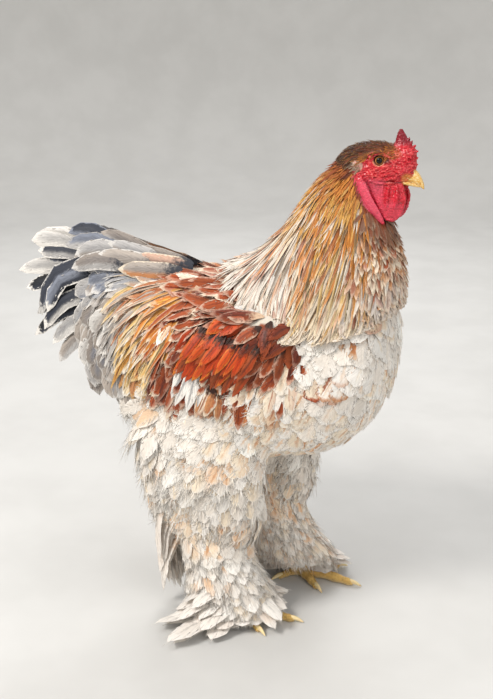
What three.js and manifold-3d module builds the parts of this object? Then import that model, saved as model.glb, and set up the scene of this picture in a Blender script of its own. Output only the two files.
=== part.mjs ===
// A Brahma rooster, life size, standing still, with its head, neck, torso, wings, tail, legs and feet
// as separate solids.
// Millimetres, +Z up, +X towards the beak, -Y the bird's right side.
// Sizes below are measured from the floor and from the middle between the two feet; the group at the end
// moves that point so that the middle of the whole bird's footprint is the origin.
import * as THREE from "three";
import Module from "manifold-3d";

const wasm = await Module();
wasm.setup();

// Driving dimensions
const gap = 0.3; // between touching pieces
const legLifts = [0, 1.5, 3, 5, 7.5]; // how far a feather may be lifted to clear its neighbours
const bodyLifts = [0, 2, 4, 6, 9, 12];
const sliver = 0.06; // edges shorter than this, left by a cut, are merged
const eye = { x: 144, y: 15.6, z: 624, radius: 5.6 };
const crownHeight = 644;
const combTip = { x: 166.5, z: 660 };
const beakTip = { x: 196, z: 591 };
const stance = { y: 67, shift: 23 }; // each foot is this far from the middle, the left one ahead
const hock = { x: -60, z: 108, y: 70 };
const footCentre = { x: -23, z: 0 };

const side = { right: -1, left: 1 };
const tau = Math.PI * 2;
const vec = (x, y, z) => new THREE.Vector3(x, y, z);
const mix = (a, b, t) => a + (b - a) * t;
const clamp = (t) => Math.min(1, Math.max(0, t));
const smooth = (a, b, t) => {
  const s = clamp((t - a) / (b - a));
  return s * s * (3 - 2 * s);
};
const radians = (d) => (d * Math.PI) / 180;

function seeded(seed) {
  let s = seed >>> 0;
  return () => {
    s = (s + 0x6d2b79f5) >>> 0;
    let t = Math.imul(s ^ (s >>> 15), 1 | s);
    t = (t + Math.imul(t ^ (t >>> 7), 61 | t)) ^ t;
    return ((t ^ (t >>> 14)) >>> 0) / 4294967296;
  };
}

// Solids

function solidOf(positions, index) {
  return new wasm.Manifold(
    new wasm.Mesh({
      numProp: 3,
      vertProperties: new Float32Array(positions),
      triVerts: new Uint32Array(index),
    }),
  );
}

// The same, with its faces turned round if they point inwards.
function facingOut(positions, index) {
  const made = solidOf(positions, index);
  if (made.volume() > 0) return made;
  const turned = index.slice();
  for (let i = 0; i < index.length; i += 3)
    [turned[i + 1], turned[i + 2]] = [index[i + 2], index[i + 1]];
  return solidOf(positions, turned);
}

function join(solids) {
  let row = solids.slice();
  while (row.length > 1) {
    const next = [];
    for (let i = 0; i < row.length; i += 2)
      next.push(i + 1 < row.length ? row[i].add(row[i + 1]) : row[i]);
    row = next;
  }
  return row[0];
}

const cut = (solid, ...cutters) =>
  cutters.reduce((s, c) => s.subtract(c), solid);

function largest(solid) {
  const bodies = solid.decompose();
  return bodies.reduce((a, b) => (b.volume() > a.volume() ? b : a), bodies[0]);
}

// The same simple solid a little larger: every vertex moves out along its normal.
function swell(solid, by = gap + 0.1) {
  const m = solid.getMesh();
  const g = new THREE.BufferGeometry();
  const p = new Float32Array(m.numVert * 3);
  for (let i = 0; i < m.numVert; i++)
    p.set(
      m.vertProperties.subarray(i * m.numProp, i * m.numProp + 3),
      i * 3,
    );
  g.setAttribute("position", new THREE.BufferAttribute(p, 3));
  g.setIndex(new THREE.BufferAttribute(new Uint32Array(m.triVerts), 1));
  g.computeVertexNormals();
  const n = g.attributes.normal.array;
  for (let i = 0; i < p.length; i++) p[i] += n[i] * by;
  return solidOf(p, m.triVerts);
}

// A piece is what its simple solids make together; its guard is the same shape grown by the gap.
const pieceOf = (...parts) => ({
  solid: join(parts),
  guard: join(parts.map((p) => swell(p))),
});

// The piece cut clear of the others that it meets.
const trimmed = (piece, ...others) => ({
  solid: cut(piece.solid, ...others.map((o) => o.guard)),
  guard: piece.guard,
});

// A form through rings. Each ring has a centre c, two half axes p and q, a bend added at the sides,
// and a power over 1 that squares the ring's corners.
class Form {
  constructor(rings) {
    this.rings = rings.map((r) => ({
      bend: vec(0, 0, 0),
      power: 1,
      ...r,
    }));
    const curve = (pick) =>
      new THREE.CatmullRomCurve3(this.rings.map(pick), false, "centripetal");
    this.c = curve((r) => r.c);
    this.p = curve((r) => r.p);
    this.q = curve((r) => r.q);
    this.bend = curve((r) => r.bend);
    this.power = this.rings.map((r) => r.power);
  }
  at(u, a) {
    const t = clamp(u);
    const k = t * (this.power.length - 1);
    const i = Math.min(Math.floor(k), this.power.length - 2);
    const power = mix(this.power[i], this.power[i + 1], k - i);
    const bow = (v) => Math.sign(v) * Math.pow(Math.abs(v), 1 / power);
    const cos = Math.cos(a),
      sin = Math.sin(a);
    return this.c
      .getPoint(t)
      .addScaledVector(this.p.getPoint(t), bow(cos))
      .addScaledVector(this.q.getPoint(t), bow(sin))
      .addScaledVector(this.bend.getPoint(t), sin * sin);
  }
  normal(u, a) {
    const h = 0.004;
    const along = this.at(Math.min(1, u + h), a).sub(
      this.at(Math.max(0, u - h), a),
    );
    const round = this.at(u, a + h).sub(this.at(u, a - h));
    const n = along.cross(round).normalize();
    return n.dot(this.at(u, a).sub(this.c.getPoint(clamp(u)))) < 0
      ? n.negate()
      : n;
  }
  solid(along, round) {
    const positions = [],
      index = [];
    for (let i = 0; i <= along; i++)
      for (let j = 0; j < round; j++)
        positions.push(...this.at(i / along, (j / round) * tau).toArray());
    const first = positions.length / 3;
    positions.push(
      ...this.c.getPoint(0).toArray(),
      ...this.c.getPoint(1).toArray(),
    );
    for (let j = 0; j < round; j++) {
      const k = (j + 1) % round;
      for (let i = 0; i < along; i++) {
        const a = i * round + j,
          b = i * round + k,
          c = a + round,
          d = b + round;
        index.push(a, b, c, b, d, c);
      }
      index.push(first, k, j);
      index.push(first + 1, along * round + j, along * round + k);
    }
    return facingOut(positions, index);
  }
}

// A ball, or an egg when the three radii differ.
function ball(centre, radii, g = new THREE.OctahedronGeometry(1, 1)) {
  const at = g.attributes.position;
  const seen = new Map(),
    positions = [],
    index = [];
  for (let i = 0; i < at.count; i++) {
    const v = vec(at.getX(i), at.getY(i), at.getZ(i));
    const key = v
      .toArray()
      .map((x) => x.toFixed(4))
      .join();
    if (!seen.has(key)) {
      seen.set(key, seen.size);
      positions.push(...v.multiply(radii).add(centre).toArray());
    }
    index.push(seen.get(key));
  }
  return solidOf(positions, index);
}

// One feather as a thin blade. Stations from root to tip give the point, the way across and the normal.
const outlines = {
  // station's share of the length, share of the width there
  pointed: { at: [0, 0.4, 0.78, 1], wide: [0.45, 0.95, 0.9, 0] },
  rounded: { at: [0, 0.4, 0.84, 1], wide: [0.45, 1, 0.94, 0.34] },
  blade: { at: [0, 0.35, 0.84, 1], wide: [0.4, 0.95, 0.95, 0.4] },
};

// A sharp blade ends in an edge, or in a point where its outline has no width there.
function blade(stations, width, thick, outline, sharp) {
  const positions = [],
    index = [];
  const last = stations.length - 1;
  stations.forEach(({ point, across, normal }, i) => {
    const half = Math.max(thick / 4, (outline.wide[i] * width) / 2);
    const rise = (thick * mix(1, 0.65, i / last)) / 2;
    const corners = [
      [-1, 1],
      [1, 1],
      [1, -1],
      [-1, -1],
    ];
    const atTip = outline.wide[i] ? [[-1, 0], [1, 0]] : [[0, 0]];
    for (const [s, h] of sharp && i === last ? atTip : corners)
      positions.push(
        ...point
          .clone()
          .addScaledVector(across, s * half)
          .addScaledVector(normal, h * rise)
          .toArray(),
      );
  });
  const tip = outline.wide[last] ? [0, 1, 1, 0] : [0, 0, 0, 0];
  const corner = (i, k) => i * 4 + (sharp && i === last ? tip[k] : k);
  const face = (...abc) => {
    if (new Set(abc).size === 3) index.push(...abc);
  };
  for (let i = 0; i < last; i++) {
    const [a, b, c, d] = [0, 1, 2, 3].map((k) => corner(i, k));
    const [e, f, g, h] = [0, 1, 2, 3].map((k) => corner(i + 1, k));
    face(a, b, e); // upper face
    face(b, f, e);
    face(d, h, c); // lower face, split alike
    face(c, h, g);
    face(b, c, f);
    face(c, g, f);
    face(d, a, h);
    face(a, e, h);
  }
  const [a, b, c, d] = [0, 1, 2, 3].map((k) => corner(last, k));
  face(0, 2, 1);
  face(0, 3, 2);
  face(a, b, c);
  face(a, c, d);
  return facingOut(positions, index);
}

// A feather along a path: path(t) gives its point and outward normal, roll tips it about its own length.
function feather(path, { width, thick = 1.1, shape = "rounded", roll = 0 }) {
  const outline = outlines[shape];
  const h = 0.02;
  const stations = outline.at.map((t) => {
    const here = path(t);
    const ahead = path(Math.min(1, t + h)).point;
    const behind = path(Math.max(0, t - h)).point;
    const along = ahead.sub(behind).normalize();
    const across = along.clone().cross(here.normal).normalize();
    const normal = across.clone().cross(along).normalize();
    across.applyAxisAngle(along, roll);
    normal.applyAxisAngle(along, roll);
    return { point: here.point, across, normal };
  });
  const by = gap + 0.1;
  return {
    solid: blade(stations, width, thick, outline, true),
    guard: blade(stations, width + by * 2, thick + by * 2, outline, false),
  };
}

// Adds feathers to a core, each one lifted until it is clear of the other solids, or left out.
function plume(core, feathers, others, lifts) {
  const kept = [];
  for (const make of feathers)
    for (const lift of lifts) {
      const { solid, guard } = make(lift);
      if (others.some((o) => guard.intersect(o).volume() > 1e-6)) continue;
      kept.push(solid);
      break;
    }
  return join([core, ...kept]);
}

// Torso

const torsoStations = [
  // x, bottom, top, half width
  [169, 385, 428, 24],
  [164, 338, 446, 55],
  [151, 304, 456, 79],
  [129, 268, 463, 98],
  [95, 243, 469, 110],
  [50, 229, 472, 121],
  [0, 225, 473, 127],
  [-50, 225, 471, 128],
  [-100, 229, 467, 122],
  [-150, 240, 463, 108],
  [-190, 262, 460, 87],
  [-220, 296, 456, 62],
  [-236, 332, 446, 38],
];
const torsoPower = 1.14;
const torsoForm = new Form(
  torsoStations.map(([x, bottom, top, half]) => ({
    c: vec(x, 0, (bottom + top) / 2),
    p: vec(0, 0, (top - bottom) / 2),
    q: vec(0, half, 0),
    power: torsoPower,
  })),
);

// The torso's half width at a place seen from the side.
function torsoSide(x, z) {
  const k = torsoStations.findIndex((s) => s[0] <= x);
  const i = k < 0 ? torsoStations.length - 1 : Math.max(1, k);
  const [a, b] = [torsoStations[i - 1], torsoStations[i]];
  const t = clamp((a[0] - x) / (a[0] - b[0]));
  const [bottom, top, half] = [1, 2, 3].map((n) => mix(a[n], b[n], t));
  const level = clamp(
    Math.abs(z - (top + bottom) / 2) / ((top - bottom) / 2),
  );
  const power = torsoPower * 2;
  return half * Math.pow(Math.max(0.02, 1 - Math.pow(level, power)), 1 / power);
}

// Neck: a core inside the cape of hackle feathers

const neckStations = [
  // front x, front z, back x, back z, half width, drop at the sides, core's share
  [141, 586, 103, 632, 23, 0, 0.96],
  [152, 564, 76, 610, 35, 0, 0.9],
  [161, 545, 54, 586, 46, 0, 0.86],
  [169, 521, 33, 555, 60, 3, 0.82],
  [175, 498, 9, 524, 76, 8, 0.78],
  [179, 472, -20, 498, 93, 22, 0.74],
  [181, 447, -50, 484, 108, 44, 0.68],
];
const ringOfNeck = (scale) => {
  return ([fx, fz, bx, bz, half, drop, share]) => {
    const k = scale ? share : 1;
    return {
      c: vec((fx + bx) / 2, 0, (fz + bz) / 2),
      p: vec((fx - bx) / 2, 0, (fz - bz) / 2).multiplyScalar(k),
      q: vec(0, half * k, 0),
      bend: vec(0, 0, -drop * k),
    };
  };
};
const neckForm = new Form(neckStations.map(ringOfNeck(false)));
const neckCoreForm = new Form(
  neckStations
    .concat([[165, 400, -30, 420, 95, 20, 0.6]])
    .map(ringOfNeck(true)),
);
const neckCoreReach = (neckStations.length - 1) / neckStations.length;

// Head

const headStations = [
  // x, bottom, top, half width
  [93, 590, 627, 15],
  [100, 584, 634, 21],
  [114, 581, 640, 24],
  [129, 582, crownHeight, 23.5],
  [144, 584, crownHeight, 21],
  [157, 588, 641, 18],
  [168, 592, 636, 14.5],
  [177, 596, 629, 11],
  [184, 600, 621, 7],
];
const headForm = new Form(
  headStations.map(([x, bottom, top, half]) => ({
    c: vec(x, 0, (bottom + top) / 2),
    p: vec(0, 0, (top - bottom) / 2),
    q: vec(0, half, 0),
    power: 1.05,
  })),
);

function makeEye(s) {
  return pieceOf(
    ball(
      vec(eye.x, s * eye.y, eye.z),
      vec(eye.radius, eye.radius * 0.9, eye.radius),
      new THREE.IcosahedronGeometry(1, 1),
    ),
  );
}

// A lid is a ring of small section round the eye, thicker above than below.
function makeLid(s) {
  const rounds = 12,
    sides = 4;
  const positions = [],
    index = [];
  const out = vec(0.12, s, 0.05).normalize();
  const up = vec(0, 0, 1).addScaledVector(out, -out.z).normalize();
  const fore = up.clone().cross(out);
  const centre = vec(eye.x, s * (eye.y + 3.2), eye.z);
  for (let i = 0; i < rounds; i++) {
    const a = (i / rounds) * tau;
    const radial = fore
      .clone()
      .multiplyScalar(Math.cos(a) * 1.18)
      .addScaledVector(up, Math.sin(a) * 0.92);
    const thick = 1.5 + 0.5 * Math.sin(a);
    for (let j = 0; j < sides; j++) {
      const b = (j / sides) * tau;
      positions.push(
        ...centre
          .clone()
          .addScaledVector(radial, 5.4 + thick * Math.cos(b))
          .addScaledVector(out, thick * Math.sin(b) - 0.6)
          .toArray(),
      );
    }
  }
  for (let i = 0; i < rounds; i++)
    for (let j = 0; j < sides; j++) {
      const [a, b] = [i * sides + j, i * sides + ((j + 1) % sides)];
      const n = ((i + 1) % rounds) * sides;
      const [c, d] = [n + j, n + ((j + 1) % sides)];
      index.push(a, b, c, b, d, c);
    }
  return facingOut(positions, index);
}

// Folds of skin on the face: under the eye, over the mouth and round the ear.
function makeFaceFolds(s) {
  const fold = (points, radius) =>
    new Form(
      points.map(([x, y, z], i) => {
        const r = radius * (i === 0 || i === points.length - 1 ? 0.3 : 1);
        return { c: vec(x, s * y, z), p: vec(0, 0, r), q: vec(0, r * 0.9, 0) };
      }),
    ).solid(4, 5);
  return [
    fold([[128, 22, 615], [140, 20.5, 610], [153, 17.5, 611], [164, 14, 615]], 2.6),
    fold([[132, 21.5, 597], [146, 18.5, 601], [160, 14.5, 603], [174, 10, 603]], 2.2),
    fold([[133, 22, 633], [145, 20, 637], [157, 17, 635], [168, 13, 629]], 2.8),
    ball(vec(111, s * 23, 613), vec(6, 3.2, 7)),
  ];
}

function makeHead(eyes) {
  const parts = [headForm.solid(10, 12)];
  for (const s of [side.right, side.left])
    parts.push(makeLid(s), ...makeFaceFolds(s));
  // the hollow of each ear
  const ears = [side.right, side.left].map((s) =>
    ball(vec(112, s * 27.4, 611.5), vec(2.6, 3, 3.4)),
  );
  const head = trimmed(pieceOf(...parts), ...eyes);
  return { solid: cut(head.solid, ...ears), guard: head.guard };
}

// Beak: the upper half hooks over the lower one, and a slit of the gap's width is the line of the mouth.

function makeBeak(upper) {
  const rows = upper
    ? [
        // x, bottom, top, half width
        [168, 600, 619, 9.5],
        [176, 599.6, 617.5, 8.4],
        [184, 597.4, 613, 6.4],
        [190, 594.4, 606.5, 4.2],
        [194, 591.4, 600, 2.6],
        [beakTip.x, beakTip.z - 1, 594.5, 1],
      ]
    : [
        [168, 589.5, 599.2, 8.4],
        [176, 589.6, 598.8, 7],
        [183, 590.4, 596.8, 4.8],
        [188, 591.4, 594.6, 2.6],
        [190.5, 592.2, 593.3, 1],
      ];
  return pieceOf(
    new Form(
      rows.map(([x, bottom, top, half]) => ({
        c: vec(x, 0, (bottom + top) / 2),
        p: vec(0, 0, (top - bottom) / 2),
        q: vec(0, half, 0),
        power: 1.1,
      })),
    ).solid(6, 8),
  );
}

// Comb: a low ridged comb with three rows of knobs and one tall point at the back.
function makeComb() {
  const ridge = new Form(
    [
      // x, bottom, top, half width
      [154, 634, 643, 2.5],
      [158, 632, 648, 6],
      [162, 630, 652, 7.4],
      [168, 626, 647, 8],
      [175, 620, 641.5, 7.8],
      [181, 615, 637, 6.6],
      [185, 612, 629, 4.6],
      [187, 612, 618, 2],
    ].map(([x, bottom, top, half]) => ({
      c: vec(x, 0, (bottom + top) / 2),
      p: vec(0, 0, (top - bottom) / 2),
      q: vec(0, half, 0),
    })),
  ).solid(7, 8);
  const spike = (x, z, tipX, tipZ, rx, ry) =>
    new Form([
      { c: vec(x, 0, z), p: vec(rx, 0, 0), q: vec(0, ry, 0) },
      {
        c: vec(mix(x, tipX, 0.55), 0, mix(z, tipZ, 0.55)),
        p: vec(rx * 0.72, 0, 0),
        q: vec(0, ry * 0.66, 0),
      },
      {
        c: vec(mix(x, tipX, 0.9), 0, mix(z, tipZ, 0.9)),
        p: vec(rx * 0.42, 0, 0),
        q: vec(0, ry * 0.4, 0),
      },
      { c: vec(tipX, 0, tipZ), p: vec(rx * 0.16, 0, 0), q: vec(0, ry * 0.2, 0) },
    ]).solid(3, 5);
  const parts = [
    ridge,
    spike(165, 644, combTip.x, combTip.z, 6.8, 3.4),
    spike(174, 639, 176, 649.5, 3.6, 2.8),
    spike(180, 634, 181.5, 643.5, 3, 2.6),
    spike(184, 628, 186.5, 636, 2.6, 2.4),
  ];
  for (const s of [-1, 1])
    for (let i = 0; i < 3; i++)
      parts.push(
        ball(vec(163 + i * 8, s * (7.6 - i * 0.7), 639 - i * 6.4), vec(4.2, 3, 4.2)),
      );
  return pieceOf(...parts);
}

// Wattles: round hanging flaps with a thick rim and a fold down the middle.
function makeWattle(s) {
  const flap = new Form(
    [
      // z, x, half length, y, half thickness
      [604, 158, 8, 9.5, 3],
      [597, 157, 15, 11.5, 5],
      [586, 156, 19.5, 13.5, 4.6],
      [573, 154.5, 21, 14.5, 4.2],
      [560, 154, 17.5, 14, 3.8],
      [551, 154, 11, 13, 3.2],
      [547, 154, 4, 12.6, 1.6],
    ].map(([z, x, long, y, thick]) => ({
      c: vec(x, s * y, z),
      p: vec(long, -s * long * 0.12, 0),
      q: vec(0, thick, 0),
    })),
  ).solid(7, 8);
  const fold = new Form(
    [
      [597, 163, 17, 1.4],
      [585, 162, 18, 2.6],
      [570, 159, 18.5, 2.6],
      [556, 156, 17, 1.4],
    ].map(([z, x, y, r]) => ({
      c: vec(x, s * y, z),
      p: vec(r * 1.6, 0, 0),
      q: vec(0, r, 0),
    })),
  ).solid(4, 5);
  return pieceOf(flap, fold);
}

function makeEarlobe(s) {
  const rings = [
    // z, x, half length, y, half thickness
    [609, 115, 3, 22, 2],
    [602, 118, 6, 22, 3.4],
    [588, 121, 8.4, 22.5, 3.6],
    [573, 125, 8.6, 22, 3.2],
    [560, 132, 7.4, 20, 2.6],
    [551, 141, 5.2, 18.6, 1.8],
    [545, 148, 1.2, 17.6, 0.8],
  ].map(([z, x, long, y, thick]) => ({
    c: vec(x, s * y, z),
    p: vec(long, 0, long * 0.25),
    q: vec(0, thick, 0),
  }));
  return pieceOf(new Form(rings).solid(6, 6));
}

// Neck with its cape of hackle feathers, row over row from the crown down

const hackleRows = [
  // root u, tip u, feathers on each side, width
  [0.6, 0.985, 9, 22],
  [0.44, 0.86, 8, 21],
  [0.28, 0.71, 6, 20],
  [0.12, 0.52, 4, 18],
];

function hackleFeathers() {
  const random = seeded(7);
  const made = [];
  for (const [root, tip, count, width] of hackleRows)
    for (let i = 0; i < count * 2; i++) {
      const a = ((i + 0.5) / (count * 2)) * tau + (random() - 0.5) * 0.08;
      const end = tip + (random() - 0.5) * 0.03;
      const w = width * mix(0.9, 1.1, random());
      const roll = (a < Math.PI ? -1 : 1) * mix(0.1, 0.2, random());
      made.push((lift) =>
        feather(
          (t) => {
            const u = mix(root, end, t);
            const inside = neckCoreForm.at(u * neckCoreReach, a);
            const outside = neckForm.at(u, a);
            const normal = neckForm.normal(u, a);
            return {
              point: inside
                .lerp(outside, t)
                .addScaledVector(normal, mix(-9, 1.5 + lift, t)),
              normal,
            };
          },
          { width: w, shape: "pointed", roll },
        ),
      );
    }
  return made;
}

// Torso's saddle feathers, long and pointed, fall from the back over the rump and the wings

const saddleRows = [
  // root x, length, feathers on each side, width
  [-40, 118, 4, 22],
  [-82, 125, 5, 23],
  [-124, 118, 4, 24],
  [-160, 100, 3, 24],
];

// The u of a given x on the torso's form.
function torsoU(x) {
  let low = 0,
    high = 1;
  for (let i = 0; i < 30; i++) {
    const mid = (low + high) / 2;
    if (torsoForm.c.getPoint(mid).x > x) low = mid;
    else high = mid;
  }
  return (low + high) / 2;
}

function saddleFeathers() {
  const random = seeded(21);
  const made = [];
  for (const [rootX, length, count, width] of saddleRows)
    for (const s of [-1, 1])
      for (let i = 0; i < count; i++) {
        const a0 = radians(mix(7, 62, (i + 0.3 * random()) / (count - 0.5)));
        const fall = radians(mix(12, 44, i / (count - 1)) + random() * 5);
        const x0 = rootX - i * 3 + (random() - 0.5) * 8;
        const x1 = x0 - length * mix(0.97, 0.72, i / (count - 1));
        const w = width * mix(0.9, 1.1, random());
        made.push((lift) =>
          feather(
            (t) => {
              const u = torsoU(Math.max(-228, mix(x0, x1, t)));
              const a = s * (a0 + fall * t * t);
              const past = Math.max(0, -228 - mix(x0, x1, t));
              const normal = torsoForm.normal(u, a);
              return {
                point: torsoForm
                  .at(u, a)
                  .addScaledVector(normal, mix(-9, 11 + lift, t) + past * 0.6)
                  .add(vec(-past, 0, 0)),
                normal,
              };
            },
            { width: w, shape: "pointed", roll: s * -0.12 },
          ),
        );
      }
  return made;
}

// Wings: a thin core against the torso's side, then three tiers of feathers

const wing = {
  front: { x: 82, z: 418 },
  rear: { x: -128, z: 352 },
  rise: [14, 38, 50, 52, 40, 16], // above the wing's own middle line, front to rear
  fall: [12, 32, 44, 46, 36, 14],
  thick: [2.5, 7, 9, 9, 7, 2.5],
};

// A place on the wing: s runs from front to rear, r from the lower edge to the upper one.
function wingPlace(s, r) {
  const k = s * (wing.rise.length - 1);
  const i = Math.min(Math.floor(k), wing.rise.length - 2);
  const of = (list) => mix(list[i], list[i + 1], k - i);
  const reach = r > 0 ? of(wing.rise) : of(wing.fall);
  return {
    x: mix(wing.front.x, wing.rear.x, s),
    z: mix(wing.front.z, wing.rear.z, s) + r * reach,
    thick: of(wing.thick) * Math.sqrt(Math.max(0.04, 1 - r * r)),
  };
}

function makeWingCore(s) {
  const long = 8,
    tall = 5;
  const positions = [],
    index = [];
  for (const outer of [true, false])
    for (let i = 0; i <= long; i++)
      for (let j = 0; j <= tall; j++) {
        const p = wingPlace(i / long, mix(-1, 1, j / tall));
        const y = torsoSide(p.x, p.z) + (outer ? 2 + p.thick : -6);
        positions.push(p.x, s * y, p.z);
      }
  const row = tall + 1,
    sheet = (long + 1) * row;
  for (let i = 0; i < long; i++)
    for (let j = 0; j < tall; j++) {
      const a = i * row + j,
        b = a + 1,
        c = a + row,
        d = c + 1;
      index.push(a, c, b, b, c, d);
      index.push(a + sheet, b + sheet, c + sheet);
      index.push(b + sheet, d + sheet, c + sheet);
    }
  const rim = [];
  for (let i = 0; i < long; i++) rim.push(i * row);
  for (let j = 0; j < tall; j++) rim.push(long * row + j);
  for (let i = long; i > 0; i--) rim.push(i * row + tall);
  for (let j = tall; j > 0; j--) rim.push(j);
  rim.forEach((a, k) => {
    const b = rim[(k + 1) % rim.length];
    index.push(a, a + sheet, b, b, a + sheet, b + sheet);
  });
  return facingOut(positions, index);
}

const wingTiers = [
  // roots run from one place (s, r) to another, and headings are in degrees below the way to the tail
  {
    from: [0.62, 0.5],
    to: [0.44, -0.62],
    heads: [4, 34],
    length: 118,
    width: 27,
    count: 7,
    high: 5,
    shape: "blade",
  },
  {
    from: [0.48, 0.55],
    to: [0.3, -0.6],
    heads: [10, 42],
    length: 66,
    width: 26,
    count: 5,
    high: 11,
    shape: "rounded",
  },
  {
    from: [0.3, 0.6],
    to: [0.16, -0.5],
    heads: [14, 46],
    length: 56,
    width: 25,
    count: 4,
    high: 13,
    shape: "rounded",
  },
];

function wingFeathers(s) {
  const random = seeded(35 + s);
  const made = [];
  for (const tier of wingTiers)
    for (let i = 0; i < tier.count; i++) {
      const k = i / (tier.count - 1);
      const root = wingPlace(
        mix(tier.from[0], tier.to[0], k),
        mix(tier.from[1], tier.to[1], k),
      );
      const head = radians(mix(...tier.heads, k) + (random() - 0.5) * 4);
      const length = tier.length * mix(1.04, 0.86, k) * mix(0.95, 1.05, random());
      const w = tier.width * mix(0.92, 1.08, random());
      made.push((lift) =>
        feather(
          (t) => {
            const x = root.x - Math.cos(head) * length * t;
            const z = root.z - Math.sin(head) * length * t + 5 * t * t;
            const h = 3;
            const y = (dx, dz) => torsoSide(x + dx, z + dz);
            const normal = vec(
              -(y(h, 0) - y(-h, 0)) / (2 * h),
              s,
              -(y(0, h) - y(0, -h)) / (2 * h),
            ).normalize();
            const out = mix(root.thick - 3, tier.high + lift, t);
            return {
              point: vec(x, s * (y(0, 0) + 2), z).addScaledVector(normal, out),
              normal,
            };
          },
          { width: w, shape: tier.shape, thick: 1.2, roll: s * 0.12 },
        ),
      );
    }
  return made;
}

// Tail: a core on the rump, coverts round it, stiff feathers in two leaning rows and curved sickles on top

const tailStations = [
  // x, bottom, top, half width
  [-196, 306, 456, 62],
  [-222, 318, 470, 56],
  [-246, 342, 474, 43],
  [-266, 368, 470, 27],
  [-282, 398, 456, 12],
];
const tailForm = new Form(
  tailStations.map(([x, bottom, top, half]) => ({
    c: vec(x, 0, (bottom + top) / 2),
    p: vec(4, 0, (top - bottom) / 2),
    q: vec(0, half, 0),
  })),
);

// Feathers that leave the tail's core at a root and sweep towards a tip, with a sag or an arch on the way.
function tailFeather(root, tip, arch, options) {
  const a = vec(...root),
    b = vec(...tip);
  const outward = vec(0.05, Math.sign(tip[1]) || 1, 0.28).normalize();
  return (lift) =>
    feather(
      (t) => ({
        point: a
          .clone()
          .lerp(b, t)
          .add(vec(0, 0, arch * 4 * t * (1 - t)))
          .addScaledVector(outward, lift * smooth(0, 0.5, t)),
        normal: outward,
      }),
      options,
    );
}

function tailFeathers() {
  const random = seeded(53);
  const made = [];
  const jitter = (by) => (random() - 0.5) * by;
  for (const s of [-1, 1]) {
    const main = 7;
    for (let i = 0; i < main; i++) {
      const k = i / (main - 1);
      const angle = radians(mix(26, -30, k));
      const reach = mix(108, 84, k);
      const z = mix(448, 398, k);
      made.push(
        tailFeather(
          [-258, s * mix(3, 12, k), z],
          [
            -262 - Math.cos(angle) * reach,
            s * mix(12, 34, k),
            z + Math.sin(angle) * reach + jitter(4),
          ],
          6,
          { width: 26, shape: "blade", thick: 1.3, roll: s * 0.1 },
        ),
      );
    }
    const sickles = [
      // root x, root z, tip x, tip z, arch, tip y
      [-214, 458, -352, 462, 34, 20],
      [-206, 452, -322, 446, 32, 30],
      [-196, 444, -292, 424, 28, 42],
    ];
    sickles.forEach(([x, z, tipX, tipZ, arch, y], i) =>
      made.push(
        tailFeather([x, s * (10 + i * 10), z], [tipX, s * y, tipZ], arch, {
          width: 25,
          shape: "blade",
          thick: 1.3,
        }),
      ),
    );
    const coverts = 6;
    for (const [tier, length, high] of [
      [0, 78, 6],
      [1, 66, 13],
    ])
      for (let i = 0; i < coverts; i++) {
        const k = (i + 0.5 * tier) / coverts;
        const angle = radians(mix(24, -70, k));
        const a = s * radians(mix(26, 150, k));
        const u = mix(0.5, 0.2, tier);
        const normal = tailForm.normal(u, a);
        const root = tailForm.at(u, a).addScaledVector(normal, -8);
        const long = length * mix(1, 0.86, k);
        const w = 31 + jitter(3);
        made.push((lift) =>
          feather(
            (t) => ({
              point: root
                .clone()
                .add(vec(-Math.cos(angle) * long * t, s * 4 * t, Math.sin(angle) * long * t))
                .addScaledVector(normal, mix(0, 8 + high + lift, t)),
              normal,
            }),
            { width: w, shape: "rounded", roll: s * 0.1 },
          ),
        );
      }
  }
  return made;
}

// Legs

const thighShift = (s) => (s > 0 ? 22 : 0);
const footShift = (s) => (s > 0 ? stance.shift * 2 : 0);

function thighForm(s) {
  const d = thighShift(s);
  return new Form(
    [
      // z, x, half length, y, half width
      [338, -48, 62, 70, 30],
      [300, -56, 88, 78, 44],
      [255, -66, 99, 80, 54],
      [205, -65, 96, 79, 53],
      [160, -62, 90, 76, 49],
      [128, -60, 79, 74, 43],
      [106, -58, 60, 72, 35],
      [96, -58, 34, 71, 22],
    ].map(([z, x, long, y, half]) => ({
      c: vec(x + d, s * y, z),
      p: vec(long, 0, 0),
      q: vec(0, half, 0),
      power: 1.08,
    })),
  );
}

// Feathers round the foot of the thigh; the stiff ones at the back reach almost to the floor.
function thighFeathers(s) {
  const form = thighForm(s);
  const random = seeded(71 + s);
  const made = [];
  const count = 9;
  for (let i = 0; i < count; i++) {
    const a = ((i + 0.5) / count) * tau;
    const behind = clamp((-Math.cos(a) - 0.35) / 0.65);
    const length = mix(44, 112, behind) * mix(0.92, 1.06, random());
    const root = form.at(0.7, a);
    const normal = form.normal(0.7, a);
    root.addScaledVector(normal, -9);
    const d = vec(0.2 * behind, 0, -1)
      .addScaledVector(vec(normal.x, normal.y, 0), 0.06)
      .normalize();
    made.push((lift) =>
      feather(
        (t) => ({
          point: root
            .clone()
            .addScaledVector(d, length * t)
            .addScaledVector(normal, (14 + lift) * t),
          normal,
        }),
        { width: 25, shape: "rounded", roll: 0.1 },
      ),
    );
  }
  return made;
}

function shankForm(s) {
  const hockX = hock.x + thighShift(s),
    footX = footCentre.x + footShift(s);
  return new Form(
    [
      // share of the way down, half length, half width
      [0, 24, 20],
      [0.3, 23, 19],
      [0.6, 22, 18],
      [0.85, 24, 19],
      [1, 17, 14],
    ].map(([k, long, half]) => ({
      c: vec(mix(hockX, footX, k), s * mix(hock.y, stance.y, k), mix(118, 24, k)),
      p: vec(long, 0, 0),
      q: vec(0, half, 0),
    })),
  );
}

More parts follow.
